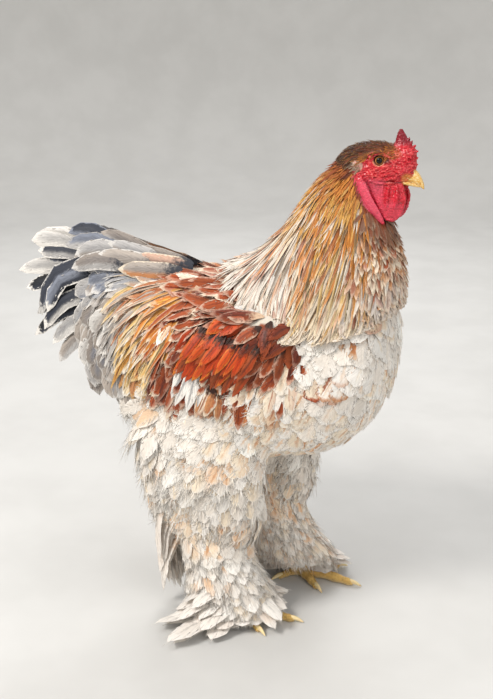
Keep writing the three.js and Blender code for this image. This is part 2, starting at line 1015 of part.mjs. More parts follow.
// Feathers of the shank fall outwards; the lowest ones lie on the floor and point away from the foot.
function shankFeathers(s) {
  const form = shankForm(s);
  const random = seeded(91 + s);
  const made = [];
  const rows = [
    // root u, feathers, length, how far out they head for each step down
    [0.22, 5, 56, 0.42],
    [0.55, 6, 52, 0.62],
  ];
  // round the outer side, the back and part of the front; the inner front stays bare
  const round = (i, count) => s * mix(radians(-38), radians(205), (i + 0.5) / count);
  for (const [u, count, length, out] of rows)
    for (let i = 0; i < count; i++) {
      const a = round(i, count);
      const normal = form.normal(u, a);
      const root = form.at(u, a).addScaledVector(normal, -8);
      const flat = vec(normal.x, normal.y, 0).normalize();
      const long = length * mix(0.88, 1.1, random());
      const d = vec(0, 0, -1).addScaledVector(flat, out).normalize();
      made.push((lift) =>
        feather(
          (t) => ({
            point: root
              .clone()
              .addScaledVector(d, long * t)
              .addScaledVector(flat, lift * t),
            normal: flat,
          }),
          { width: 23, shape: "rounded", roll: 0.14 },
        ),
      );
    }
  const low = 8;
  for (let i = 0; i < low; i++) {
    const a = round(i, low);
    const normal = form.normal(0.9, a);
    const flat = vec(normal.x, normal.y, 0).normalize();
    const root = form.at(0.9, a).addScaledVector(flat, -5);
    const long = mix(64, 112, smooth(-0.2, 0.85, i / (low - 1))) * mix(0.94, 1.05, random());
    const high = i % 2 ? 5.6 : 2.4;
    made.push((lift) =>
      feather(
        (t) => ({
          point: root
            .clone()
            .addScaledVector(flat, long * t)
            .setZ(mix(root.z, high + lift, smooth(0, 0.55, t))),
          normal: vec(flat.x * 0.3, flat.y * 0.3, 1).normalize(),
        }),
        { width: 26, shape: "blade" },
      ),
    );
  }
  return made;
}

const toes = [
  // heading in degrees towards the outer side, length, radius
  { name: "middle", heading: -4, length: 84, radius: 8.2 },
  { name: "inner", heading: -42, length: 54, radius: 7.2 },
  { name: "outer", heading: 36, length: 62, radius: 7.2 },
  { name: "hind", heading: -128, length: 36, radius: 6.4 },
];
const soleFlat = 1.6; // how much of each toe's round underside is taken off to make its flat

function toeLine(s, toe) {
  const turn = radians(toe.heading);
  return {
    from: vec(footCentre.x + footShift(s), s * stance.y, 0),
    d: vec(Math.cos(turn), s * Math.sin(turn), 0),
  };
}

function makeToe(s, toe) {
  const { from, d } = toeLine(s, toe);
  const across = vec(-d.y, d.x, 0);
  const rings = 7;
  return new Form(
    Array.from({ length: rings }, (_, i) => {
      const k = i / (rings - 1);
      const joint = 1 + 0.1 * Math.cos(k * 3 * tau);
      const r = toe.radius * mix(1.1, 0.62, k) * joint * (i === rings - 1 ? 0.55 : 1);
      return {
        c: from
          .clone()
          .addScaledVector(d, toe.length * k)
          .setZ(toe.radius * mix(1.1, 0.62, k) - soleFlat + 1.8 * Math.sin(k * Math.PI)),
        p: across.clone().multiplyScalar(r),
        q: vec(0, 0, r),
      };
    }),
  ).solid(6, 6);
}

function makeClaw(s, toe) {
  const { from, d } = toeLine(s, toe);
  const across = vec(-d.y, d.x, 0);
  const rings = [
    // past the toe's end, height, radius
    [-6, 5.6, 3.6],
    [2, 5.4, 3.1],
    [8, 4, 2.1],
    [13, 2, 0.8],
  ].map(([k, z, r]) => ({
    c: from
      .clone()
      .addScaledVector(d, toe.length + k)
      .setZ(z),
    p: across.clone().multiplyScalar(r * 0.85),
    q: vec(0, 0, r),
  }));
  return pieceOf(new Form(rings).solid(3, 5));
}

// A block under the floor, which cuts the soles flat.
const underFloor = () =>
  solidOf(
    [-1, 1].flatMap((z) =>
      [
        [-1, -1],
        [1, -1],
        [1, 1],
        [-1, 1],
      ].flatMap(([x, y]) => [x * 400, y * 400, (z - 1) * 20]),
    ),
    [
      [0, 2, 1, 0, 3, 2],
      [4, 5, 6, 4, 6, 7],
      [0, 1, 5, 0, 5, 4],
      [1, 2, 6, 1, 6, 5],
      [2, 3, 7, 2, 7, 6],
      [3, 0, 4, 3, 4, 7],
    ].flat(),
  );

function makeFoot(s) {
  const x = footCentre.x + footShift(s);
  const pad = new Form([
    { c: vec(x, s * stance.y, 31), p: vec(10.5, 0, 0), q: vec(0, 9.5, 0) },
    { c: vec(x, s * stance.y, 18), p: vec(13, 0, 0), q: vec(0, 11, 0) },
    { c: vec(x + 1, s * stance.y, 5), p: vec(15, 0, 0), q: vec(0, 13, 0) },
    { c: vec(x + 1, s * stance.y, -3), p: vec(12, 0, 0), q: vec(0, 10, 0) },
  ]).solid(3, 8);
  const foot = pieceOf(pad, ...toes.map((t) => makeToe(s, t)));
  return { solid: cut(foot.solid, underFloor()), guard: foot.guard };
}

function makeSpur(s) {
  const x = mix(hock.x + thighShift(s), footCentre.x + footShift(s), 0.72);
  const rings = [
    // distance out, radius
    [0, 5],
    [8, 4.6],
    [20, 3.8],
    [26, 1.6],
  ].map(([k, r]) => ({
    c: vec(x - 12 - k * 0.75, s * (stance.y - 10 - k * 0.5), 48 - k * 0.08),
    p: vec(0, 0, r),
    q: vec(r * 0.5, -s * r * 0.85, 0),
  }));
  return pieceOf(new Form(rings).solid(3, 5));
}

// Finishes

const finish = (color, roughness = 0.85) =>
  new THREE.MeshStandardMaterial({ color, roughness, metalness: 0 });
const finishes = {
  face: finish(0xc8262f, 0.55),
  comb: finish(0xa81a28, 0.5),
  beak: finish(0xd9a24a, 0.4),
  eye: finish(0xb5651d, 0.15),
  hackle: finish(0xd9a15c),
  body: finish(0xe9e2d8),
  wing: finish(0x8f3a1c),
  tail: finish(0x6c7280),
  leg: finish(0xe6d8c6),
  foot: finish(0xd9a03c, 0.5),
  claw: finish(0xc9b48a, 0.4),
};

const group = new THREE.Group();
const nodes = {};

function place(name, solid, material) {
  const body = largest(solid.simplify(sliver));
  nodes[name] = body;
  const m = body.getMesh();
  const p = new Float32Array(m.numVert * 3);
  for (let i = 0; i < m.numVert; i++)
    p.set(m.vertProperties.subarray(i * m.numProp, i * m.numProp + 3), i * 3);
  const g = new THREE.BufferGeometry();
  g.setAttribute("position", new THREE.BufferAttribute(p, 3));
  g.setIndex(new THREE.BufferAttribute(new Uint32Array(m.triVerts), 1));
  g.computeVertexNormals();
  const mesh = new THREE.Mesh(g, material);
  mesh.name = name;
  group.add(mesh);
}

const placed = (...starts) =>
  Object.entries(nodes)
    .filter(([name]) => starts.some((start) => name.startsWith(start)))
    .map(([, solid]) => solid);

// Assembly. Each piece is cut clear of the pieces it grows from, and feathers are added last,
// from the ones that lie lowest to the ones that lie on top.

const sides = [
  ["right", side.right],
  ["left", side.left],
];
const both = (make) => sides.map(([, s]) => make(s));
const eyes = both(makeEye);
const head = makeHead(eyes);
const beakUpper = trimmed(makeBeak(true), head);
const beakLower = trimmed(makeBeak(false), head, beakUpper);
const comb = trimmed(makeComb(), head, beakUpper);
const wattles = both((s) => trimmed(makeWattle(s), head, beakUpper, beakLower));
const lobes = both((s) => trimmed(makeEarlobe(s), head, ...wattles));
place("head", head.solid, finishes.face);
place("beak_upper", beakUpper.solid, finishes.beak);
place("beak_lower", beakLower.solid, finishes.beak);
place("comb", comb.solid, finishes.comb);
sides.forEach(([name], i) => {
  place(`eye_${name}`, eyes[i].solid, finishes.eye);
  place(`wattle_${name}`, wattles[i].solid, finishes.comb);
  place(`earlobe_${name}`, lobes[i].solid, finishes.comb);
});

const torso = pieceOf(torsoForm.solid(14, 18));
const neck = trimmed(pieceOf(neckCoreForm.solid(9, 14)), head, torso, ...lobes, ...wattles);
const feet = both(makeFoot);
const thighs = both((s) => trimmed(pieceOf(thighForm(s).solid(8, 12)), torso));
const shanks = both((s) => pieceOf(shankForm(s).solid(5, 10))).map((shank, i) =>
  trimmed(shank, thighs[i], feet[i]),
);
sides.forEach(([name, s], i) => {
  place(`foot_${name}`, feet[i].solid, finishes.foot);
  for (const toe of toes)
    place(`claw_${name}_${toe.name}`, trimmed(makeClaw(s, toe), feet[i]).solid, finishes.claw);
  place(`spur_${name}`, trimmed(makeSpur(s), shanks[i]).solid, finishes.claw);
});

const bare = placed("foot_", "claw_", "spur_");
const legs = () => placed("shank_", "thigh_");
sides.forEach(([name, s], i) => {
  const nearShank = [thighs[i].solid, ...bare, ...legs()];
  const shank = plume(shanks[i].solid, shankFeathers(s), nearShank, legLifts);
  place(`shank_${name}`, shank, finishes.leg);
  const nearThigh = [torso.solid, ...bare, ...legs()];
  const thigh = plume(thighs[i].solid, thighFeathers(s), nearThigh, legLifts);
  place(`thigh_${name}`, thigh, finishes.leg);
});
sides.forEach(([name, s]) => {
  const core = trimmed(pieceOf(makeWingCore(s)), torso, ...thighs, neck);
  const near = [torso.solid, neck.solid, ...placed("thigh_")];
  place(`wing_${name}`, plume(core.solid, wingFeathers(s), near, bodyLifts), finishes.wing);
});
const tail = trimmed(pieceOf(tailForm.solid(5, 10)), torso);
const nearTail = [torso.solid, ...placed("wing_", "thigh_")];
place("tail", plume(tail.solid, tailFeathers(), nearTail, bodyLifts), finishes.tail);
const nearTorso = [neck.solid, ...placed("tail", "wing_", "thigh_")];
place("torso", plume(torso.solid, saddleFeathers(), nearTorso, bodyLifts), finishes.body);
const nearNeck = placed("torso", "wing_", "head", "comb", "beak_", "wattle_", "earlobe_");
place("neck", plume(neck.solid, hackleFeathers(), nearNeck, bodyLifts), finishes.hackle);

// The origin is on the floor, in the middle of the whole bird's length and width.
const box = new THREE.Box3().setFromObject(group);
group.position.set(-(box.min.x + box.max.x) / 2, -(box.min.y + box.max.y) / 2, 0);
const root = new THREE.Group();
root.add(group);

export default root;
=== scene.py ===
import math
import time

import bpy
import numpy as np
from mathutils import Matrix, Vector, noise
from mathutils.bvhtree import BVHTree


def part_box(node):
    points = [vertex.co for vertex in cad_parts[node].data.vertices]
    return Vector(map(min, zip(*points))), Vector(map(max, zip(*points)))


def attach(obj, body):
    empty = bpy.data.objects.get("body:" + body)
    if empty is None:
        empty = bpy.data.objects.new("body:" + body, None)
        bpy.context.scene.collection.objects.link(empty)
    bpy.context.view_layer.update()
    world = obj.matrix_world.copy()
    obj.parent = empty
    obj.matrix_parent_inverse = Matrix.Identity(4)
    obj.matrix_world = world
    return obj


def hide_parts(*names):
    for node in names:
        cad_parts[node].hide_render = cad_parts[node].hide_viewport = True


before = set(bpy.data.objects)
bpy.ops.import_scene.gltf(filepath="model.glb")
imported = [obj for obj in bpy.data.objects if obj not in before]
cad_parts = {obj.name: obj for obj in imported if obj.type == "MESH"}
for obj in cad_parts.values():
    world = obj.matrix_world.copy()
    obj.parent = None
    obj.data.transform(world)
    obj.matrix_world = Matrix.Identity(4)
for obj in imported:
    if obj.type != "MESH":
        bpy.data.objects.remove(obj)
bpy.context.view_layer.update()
started = time.time()


def stage(words):
    print(f"{time.time() - started:6.1f} s  {words}")


# Places are measured from the eyes, which stand 144 mm ahead of the middle between the feet
eyePlace = {"x": 144.0, "y": 15.6, "z": 624.0, "radius": 5.6}
eyeCorners = [Vector(c) for side in ("right", "left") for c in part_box(f"eye_{side}")]
eyeMiddle = sum(eyeCorners, Vector()) / 4
origin = np.array([eyeMiddle.x - eyePlace["x"] / 1000, eyeMiddle.y, 0.0])

rightSide, leftSide = sides = -1, 1
sideNames = {rightSide: "right", leftSide: "left"}
sideTitles = {rightSide: "Right", leftSide: "Left"}
stance = {"y": 67, "footX": -23, "hockX": -60, "hockY": 70, "ahead": 46, "thighAhead": 22}


def thighShift(side):
    return stance["thighAhead"] if side > 0 else 0


def footShift(side):
    return stance["ahead"] if side > 0 else 0


# Camera at the photo's angle
camera = {
    "lookAt": (-45.18, 27.49, 350.0),
    "azimuth": 22.0,
    "elevation": 18.0,
    "distance": 1500.0,
    "lens": 56.44,
}


def makeCamera():
    a, e = math.radians(camera["azimuth"]), math.radians(camera["elevation"])
    back = np.array([math.sin(a) * math.cos(e), -math.cos(a) * math.cos(e), math.sin(e)])
    target = np.array(camera["lookAt"]) / 1000 + origin
    place = target + back * camera["distance"] / 1000
    bpy.ops.object.camera_add(location=place)
    eye = bpy.context.object
    eye.name = "photoCamera"
    eye.rotation_euler = Vector(-back).to_track_quat("-Z", "Y").to_euler()
    eye.data.lens = camera["lens"]
    eye.data.sensor_width = 36.0
    bpy.context.scene.camera = eye


makeCamera()
bpy.context.scene.view_settings.view_transform = "Standard"


# Colours, written as on a colour card and turned to linear light
def fromCard(code):
    parts = np.array([int(code[i : i + 2], 16) for i in (0, 2, 4)]) / 255
    return np.where(parts <= 0.04045, parts / 12.92, ((parts + 0.055) / 1.055) ** 2.4)


colours = {
    name: fromCard(code)
    for name, code in {
        "white": "f4efe8",
        "milk": "eae1d6",
        "cream": "efdfc8",
        "peach": "e8c6a6",
        "tan": "c98c5e",
        "blush": "dcb39c",
        "sienna": "ac4f26",
        "rust": "93451f",
        "mahogany": "702a14",
        "darkBrown": "3b1d10",
        "ember": "b8390c",
        "flame": "d4531b",
        "orange": "d8842f",
        "gold": "dfa851",
        "straw": "e8ca8f",
        "stripe": "5b4836",
        "dove": "b3a89e",
        "greige": "968c84",
        "ash": "b4b1af",
        "pearl": "d8d4cf",
        "blueGrey": "858a97",
        "slate": "363a45",
        "soot": "17181d",
        "fleshRed": "d4182a",
        "fleshPink": "f0607a",
        # the flesh's red in painted shade, for the hollow below the cheek and the mouth line
        "fleshShade": "6e0714",
        "combTop": "780c20",
        "forehead": "c4552a",
        "lidPale": "e3a77a",
        "earPatch": "b7a28e",
        "toeYellow": "e3bb6c",
        "toePale": "edd3a0",
        "hornPale": "f0dca6",
        "hornGold": "dfa63e",
        "hornBrown": "9a5a24",
    }.items()
}


def mix(a, b, t):
    return a + (b - a) * t


def blend(a, b, weight):
    b = colours[b] if isinstance(b, str) else b
    weight = np.asarray(weight)[..., None]
    return a * (1 - weight) + b * weight


def smooth(low, high, t):
    s = np.clip((t - low) / (high - low), 0, 1)
    return s * s * (3 - 2 * s)


def unit(v):
    return v / np.maximum(np.linalg.norm(v, axis=-1, keepdims=True), 1e-9)


# Helpers that work as by hand: select, run the operator, apply
def alone(thing):
    bpy.ops.object.select_all(action="DESELECT")
    thing.select_set(True)
    bpy.context.view_layer.objects.active = thing


def applied(thing, kind, **values):
    alone(thing)
    modifier = thing.modifiers.new(kind.lower(), kind)
    for key, value in values.items():
        setattr(modifier, key, value)
    bpy.ops.object.modifier_apply(modifier=modifier.name)
    return thing


def joined(things, name):
    bpy.ops.object.select_all(action="DESELECT")
    for thing in things:
        thing.select_set(True)
    bpy.context.view_layer.objects.active = things[0]
    bpy.ops.object.join()
    things[0].name = name
    return things[0]


def perVertex(thing, what):
    values = np.empty(len(thing.data.vertices) * 3, np.float32)
    thing.data.vertices.foreach_get(what, values)
    return values.reshape(-1, 3)


def placesOf(thing):
    return (perVertex(thing, "co").astype(float) - origin) * 1000


def setPlaces(thing, places):
    co = (np.asarray(places) / 1000 + origin).astype(np.float32)
    thing.data.vertices.foreach_set("co", co.ravel())
    thing.data.update()


def normalsOf(thing):
    return perVertex(thing, "normal").astype(float)


def smoothFaces(thing):
    thing.data.polygons.foreach_set("use_smooth", [True] * len(thing.data.polygons))
    thing.data.update()


def paint(thing, name, tones):
    layer = thing.data.attributes.new(name, "FLOAT_COLOR", "POINT")
    full = np.ones((len(tones), 4), np.float32)
    full[:, :3] = tones
    layer.data.foreach_set("color", full.ravel())


def weigh(thing, name, values):
    layer = thing.data.attributes.new(name, "FLOAT", "POINT")
    layer.data.foreach_set("value", np.asarray(values, np.float32))


def noiseAt(places, size, seed=0.0):
    shift = Vector((seed, seed * 0.7, -seed))
    return np.array([noise.noise(Vector(p) / size + shift) for p in places])


# Forms through rings
def curveThrough(rows, at):
    rows = np.asarray(rows, float)
    t = np.asarray(at, float) * (len(rows) - 1)
    i = np.clip(np.floor(t).astype(int), 0, len(rows) - 2)
    f = (t - i)[..., None]
    a, b = rows[np.maximum(i - 1, 0)], rows[i]
    c, d = rows[i + 1], rows[np.minimum(i + 2, len(rows) - 1)]
    return 0.5 * (
        2 * b + (c - a) * f + (2 * a - 5 * b + 4 * c - d) * f**2 + (3 * b - a - 3 * c + d) * f**3
    )


class Form:
    def __init__(self, rings, power=1.0):
        # each ring: centre, half axis p, half axis q, and where it has one a bend at the sides
        self.rings = [np.concatenate([*ring, (0, 0, 0)])[:12] for ring in rings]
        self.power = power

    def at(self, u, a):
        u, a = np.broadcast_arrays(u, a)
        ring = curveThrough(self.rings, u)
        cos, sin = np.cos(a), np.sin(a)
        bow = lambda v: (np.sign(v) * np.abs(v) ** (1 / self.power))[..., None]
        return (
            ring[..., 0:3]
            + ring[..., 3:6] * bow(cos)
            + ring[..., 6:9] * bow(sin)
            + ring[..., 9:12] * (sin * sin)[..., None]
        )

    def normal(self, u, a):
        h = 0.004
        along = self.at(u + h, a) - self.at(u - h, a)
        around = self.at(u, a + h) - self.at(u, a - h)
        n = unit(np.cross(along, around))
        out = self.at(u, a) - curveThrough(self.rings, u)[..., 0:3]
        return n * np.where((n * out).sum(-1, keepdims=True) < 0, -1, 1)

    def body(self, name, segments=32, rings=24):
        bpy.ops.mesh.primitive_uv_sphere_add(segments=segments, ring_count=rings, radius=1)
        thing = bpy.context.object
        thing.name = name
        co = perVertex(thing, "co")
        level = np.rint(np.arccos(np.clip(co[:, 2], -1, 1)) / math.pi * rings)
        u = np.clip((level - 1) / (rings - 2), 0, 1)
        pole = (level == 0) | (level == rings)
        places = self.at(u, np.arctan2(co[:, 1], co[:, 0]))
        places[pole] = curveThrough(self.rings, u[pole])[:, 0:3]
        setPlaces(thing, places)
        alone(thing)
        bpy.ops.object.mode_set(mode="EDIT")
        bpy.ops.mesh.select_all(action="SELECT")
        bpy.ops.mesh.normals_make_consistent(inside=False)
        bpy.ops.object.mode_set(mode="OBJECT")
        return thing


def ovalRings(rows, inset=0.0):
    return [
        ((x, 0, (low + high) / 2), (0, 0, (high - low) / 2 - inset), (0, half - inset, 0))
        for x, low, high, half in rows
    ]


def onSide(side, places):
    return [(x, side * y, z) for x, y, z in places]


def chain(points, radius, name="fold", segments=10):
    points = np.asarray(points, float)
    along = unit(np.gradient(points, axis=0))
    side = unit(np.cross(along, np.array([0.13, 0.31, 0.94])))
    up = np.cross(side, along)
    last = len(points) - 1
    rings = []
    for i, place in enumerate(points):
        r = radius * (0.25 if i in (0, last) else 1)
        rings.append((place, up[i] * r, side[i] * r))
    return Form(rings).body(name, segments, max(8, len(points) * 3))


def blob(centre, radii, name="blob"):
    bpy.ops.mesh.primitive_ico_sphere_add(subdivisions=3, radius=1)
    thing = bpy.context.object
    thing.name = name
    setPlaces(thing, perVertex(thing, "co") * np.asarray(radii) + np.asarray(centre))
    return thing


# Body forms, the same as the solids', drawn in by the depth of the coat
torso = {
    "coat": 9,
    "rows": [
        # x, bottom, top, half width
        (165, 385, 428, 24),
        (160, 338, 446, 55),
        (151, 304, 456, 79),
        (129, 268, 463, 98),
        (95, 243, 469, 110),
        (50, 229, 472, 121),
        (0, 225, 473, 127),
        (-50, 225, 471, 128),
        (-100, 229, 467, 122),
        (-150, 240, 463, 108),
        (-190, 262, 460, 87),
        (-220, 296, 456, 62),
        (-236, 332, 446, 38),
    ],
}
neck = {
    # front x, front z, back x, back z, half width, drop at the sides, the skin's share
    "rows": [
        (141, 586, 103, 632, 23, 0, 0.93),
        (152, 564, 76, 610, 35, 0, 0.84),
        (161, 545, 54, 586, 46, 0, 0.8),
        (169, 521, 33, 555, 60, 3, 0.78),
        (175, 498, 9, 524, 76, 8, 0.75),
        (179, 472, -20, 498, 93, 22, 0.72),
        (178, 447, -50, 484, 108, 44, 0.68),
    ],
    "foot": (165, 400, -30, 420, 95, 20, 0.6),
    "hem": (175, 440, -76, 470, 118, 44, 0.68),  # where the longest hackles end
}
tailCore = [(-196, 312, 452, 52), (-222, 325, 462, 46), (-246, 348, 466, 34), (-264, 372, 460, 20)]
wing = {
    # ends of its middle line (x, z), and how far it reaches above and below that line
    "front": (82, 418), "rear": (-128, 352),
    "rise": (14, 38, 50, 52, 40, 16), "fall": (12, 32, 44, 46, 36, 14),
    # the pad that carries it: half length and height, its middle (x, z), how far out it lies, half thickness
    "pad": (112, 50), "padMiddle": (-23, 385), "padOut": 111, "padThick": 13,
}
thigh = {
    "coat": 15,
    "rows": [
        # z, x, half length, y, half width
        (338, -48, 62, 70, 30),
        (300, -56, 88, 78, 44),
        (255, -66, 99, 80, 54),
        (205, -65, 96, 79, 53),
        (160, -62, 90, 76, 49),
        (128, -60, 79, 74, 43),
        (106, -58, 60, 72, 35),
        (94, -58, 34, 71, 24),
    ],
}
shank = {"rows": [(0, 15, 13), (0.3, 13, 12), (0.6, 12, 11), (0.85, 13, 12), (1, 14, 12)]}


def neckRings(skin):
    rings = []
    for fx, fz, bx, bz, half, drop, share in neck["rows"] + [neck["foot" if skin else "hem"]]:
        k = share if skin else 1
        centre = ((fx + bx) / 2, 0, (fz + bz) / 2)
        reach = ((fx - bx) / 2 * k, 0, (fz - bz) / 2 * k)
        rings.append((centre, reach, (0, half * k, 0), (0, 0, -drop * k)))
    return rings


neckForm = Form(neckRings(False))


def thighRings(side, inset):
    d = thighShift(side)
    return [
        ((x + d, side * y, z), (long - inset, 0, 0), (0, half - inset, 0))
        for z, x, long, y, half in thigh["rows"]
    ]


def shankRings(side):
    fromX, toX = stance["hockX"] + thighShift(side), stance["footX"] + footShift(side)
    return [
        (
            (mix(fromX, toX, k), side * mix(stance["hockY"], stance["y"], k), mix(118, 20, k)),
            (long, 0, 0),
            (0, half, 0),
        )
        for k, long, half in shank["rows"]
    ]


def wingPad(side):
    slope = math.atan2(wing["front"][1] - wing["rear"][1], wing["front"][0] - wing["rear"][0])
    thing = blob((0, 0, 0), (1, 1, 1), "wingPad")
    co = placesOf(thing)
    x, z = co[:, 0] * wing["pad"][0], co[:, 2] * wing["pad"][1]
    out = wing["padOut"] - 0.0016 * (x - 10) ** 2 - 0.004 * z**2
    middleX, middleZ = wing["padMiddle"]
    places = [
        x * math.cos(slope) - z * math.sin(slope) + middleX,
        side * out + co[:, 1] * wing["padThick"],
        x * math.sin(slope) + z * math.cos(slope) + middleZ,
    ]
    setPlaces(thing, np.stack(places, axis=1))
    return thing


voxels = {"body": 0.0045, "head": 0.00085, "foot": 0.0012}  # metres


def grownTogether(parts, name, voxel, rounds):
    thing = joined(parts, name)
    applied(thing, "REMESH", mode="VOXEL", voxel_size=voxels[voxel])
    return applied(thing, "SMOOTH", factor=0.5, iterations=rounds)


def makeBodySkin():
    parts = [
        Form(ovalRings(torso["rows"], torso["coat"]), 1.14).body("torso", 48, 40),
        Form(neckRings(True)).body("neck", 40, 30),
        Form(ovalRings(tailCore)).body("tail", 24, 16),
    ]
    for side in sides:
        parts.append(wingPad(side))
        parts.append(Form(thighRings(side, thigh["coat"])).body("thigh", 32, 24))
        parts.append(Form(shankRings(side)).body("shank", 20, 16))
    return grownTogether(parts, "body", "body", 8)


# Head: skull, comb, wattles, lobes, lids and folds become one flesh
skull = [
    # x, bottom, top, half width
    (88, 590, 622, 12),
    (93, 588, 628, 16),
    (100, 584, 634, 21),
    (114, 582, 640, 23.5),
    (129, 584, 643, 23),
    (144, 586, 643, 20.5),
    (157, 590, 640, 17.5),
    (168, 594, 635, 14),
    (177, 598, 628, 10.5),
    (183, 602, 621, 7),
]


def ringAround(centre, out, radius, thick, squeeze, arc, steps=18):
    out = unit(np.array(out, float))
    up = unit(np.array([0, 0, 1.0]) - out * out[2])
    fore = np.cross(up, out)
    angles = np.radians(np.linspace(*arc, steps))
    points = [
        np.array(centre)
        + fore * math.cos(a) * radius * squeeze[0]
        + up * math.sin(a) * radius * squeeze[1]
        for a in angles
    ]
    return chain(points, thick, "ring", 8)


def combParts():
    parts = [
        Form(
            ovalRings(
                [
                    (155, 634, 641, 3),
                    (159, 631, 645, 5.4),
                    (165, 627, 647, 6.8),
                    (171, 622, 646, 7.2),
                    (176, 618, 643, 6.8),
                    (181, 614, 638, 5.8),
                    (184.6, 612, 631, 3.6),
                ]
            )
        ).body("ridge", 28, 20)
    ]
    # the tall middle point is a broad leaf, the others small teeth down the front
    leaf = [
        # z, x, half length
        (640, 167.5, 9.8), (645, 167.2, 8.8), (650, 166, 6.6),
        (655, 165.2, 4.4), (658.6, 164.8, 2.4), (660.2, 164.7, 0.9),
    ]
    rings = [((x, 0, z), (long, 0, 0), (0, 3.4 - 0.12 * (z - 640), 0)) for z, x, long in leaf]
    parts.append(Form(rings).body("leaf", 24, 18))
    spikes = [
        # foot x, foot z, tip x, tip z, half length, half thickness
        (172.5, 645, 175.4, 651, 2.6, 2.2),
        (176, 642, 179, 647, 2.3, 2.0),
        (179.5, 638, 183, 642.4, 2.2, 1.9),
        (182, 632, 186.4, 635.6, 2.2, 1.9),
        (183, 625, 187, 627.6, 2.2, 1.9),
        (183, 618, 187, 619.6, 2.2, 1.9),
    ]
    for x, z, tipX, tipZ, rx, ry in spikes:
        rings = []
        for k, wide in ((0, 1), (0.35, 0.88), (0.65, 0.62), (0.88, 0.36), (1, 0.12)):
            centre = (mix(x, tipX, k), 0, mix(z, tipZ, k))
            rings.append((centre, (rx * wide, 0, 0), (0, ry * max(wide, 0.3), 0)))
        parts.append(Form(rings).body("spike", 16, 12))
    rng = np.random.default_rng(4)
    for side in sides:
        for i in range(6):
            # folds that run down and forward over the side of the comb
            k = i / 5
            start = np.array([mix(157, 173, k), side * mix(7.4, 5.6, k), mix(629, 637, k)])
            end = np.array([mix(178, 185.4, k), side * mix(8.4, 4.4, k), mix(612.5, 634, k)])
            points = []
            for t in np.linspace(0, 1, 7):
                bulge = 1.6 * math.sin(t * math.pi)
                wave = 0.8 * math.sin(t * 9 + i * 2)
                points.append(mix(start, end, t) + np.array([0.4 * wave, side * bulge, wave]))
            parts.append(chain(points, 1.35))
        for _ in range(14):
            x = rng.uniform(160, 183)
            z = mix(642, 614, (x - 160) / 23) + rng.uniform(-5, 1)
            y = side * rng.uniform(6.4, 7.8) * smooth(192, 172, x)
            parts.append(blob((x, y, z), rng.uniform(1.2, 2.0, 3)))
    return parts


lidRings = [
    # x, off the middle, z, radius, thickness, squeeze, from and to in degrees:
    # brow, lower lid, pouch under the eye, and a fold round it
    (144.8, 19.6, 624.6, 6.9, 1.5, (1.12, 0.82), (14, 168)),
    (144.4, 19.2, 623.6, 6.6, 1.0, (1.08, 0.92), (186, 354)),
    (144.6, 19.0, 622.8, 9.0, 1.2, (1.1, 0.9), (196, 348)),
    (144.8, 18.4, 622.0, 12.4, 1.3, (1.12, 0.92), (205, 338)),
]
faceFolds = [
    # thickness, then places along the fold (x, off the middle, z)
    (1.5, (150.5, 19.6, 626.6), (155, 18.6, 622.6), (160, 16.6, 619.6)),
    (1.9, (127, 22.6, 628), (136, 21.8, 632.6), (147, 20.2, 632.8), (158, 17.2, 627)),
    (1.4, (128, 22.9, 622), (134, 22.2, 628), (143, 21.2, 630.6), (152, 19, 629)),
    # cheek and the corner of the mouth
    (1.9, (124, 22.8, 613), (136, 22, 607.4), (150, 19.4, 606.6), (163, 15.8, 609.5)),
    (1.7, (126, 22.6, 607.5), (139, 21.4, 602.4), (152, 18.6, 602), (166, 14.6, 603.6)),
    (1.6, (130, 22, 602), (142, 20.4, 597.8), (154, 17.6, 597.4), (168, 13.4, 598.4)),
    (1.7, (160, 15.9, 618), (168, 13.4, 616), (175, 10.8, 613), (180, 8.2, 611)),
    (1.5, (158, 16.8, 613), (166, 14.4, 610.4), (173, 11.8, 607.5)),
    # over the nostril
    (1.8, (160, 15.6, 625), (168, 12.8, 622.5), (175, 10, 619), (181, 7.2, 615.5)),
]


def faceParts(side):
    out = (0.16, side, 0.06)
    parts = [ringAround((x, side * y, z), out, *rest) for x, y, z, *rest in lidRings]
    parts += [chain(onSide(side, places), thick) for thick, *places in faceFolds]
    # the ear with its tuft, and the edge of the face before it
    parts.append(blob((118, side * 22.4, 616.5), (6.4, 3.2, 6.6)))
    parts.append(chain(onSide(side, [(125, 22.8, 621), (123.5, 23.4, 612), (121, 23.6, 604)]), 1.8))
    rng = np.random.default_rng(5 + side)
    for _ in range(34):
        x, z = rng.uniform(125, 168), rng.uniform(597, 622)
        if math.hypot(x - eyePlace["x"], z - eyePlace["z"]) < 10.5:
            continue
        y = 23.6 - 0.0056 * (x - 112) ** 2
        rise = rng.uniform(-4, 4) * 0.3
        wrinkle = [(x - 3.4, y, z - rise), (x, y + 0.5, z), (x + 3.4, y - 0.5, z + rise)]
        parts.append(chain(onSide(side, wrinkle), 0.95))
    return parts


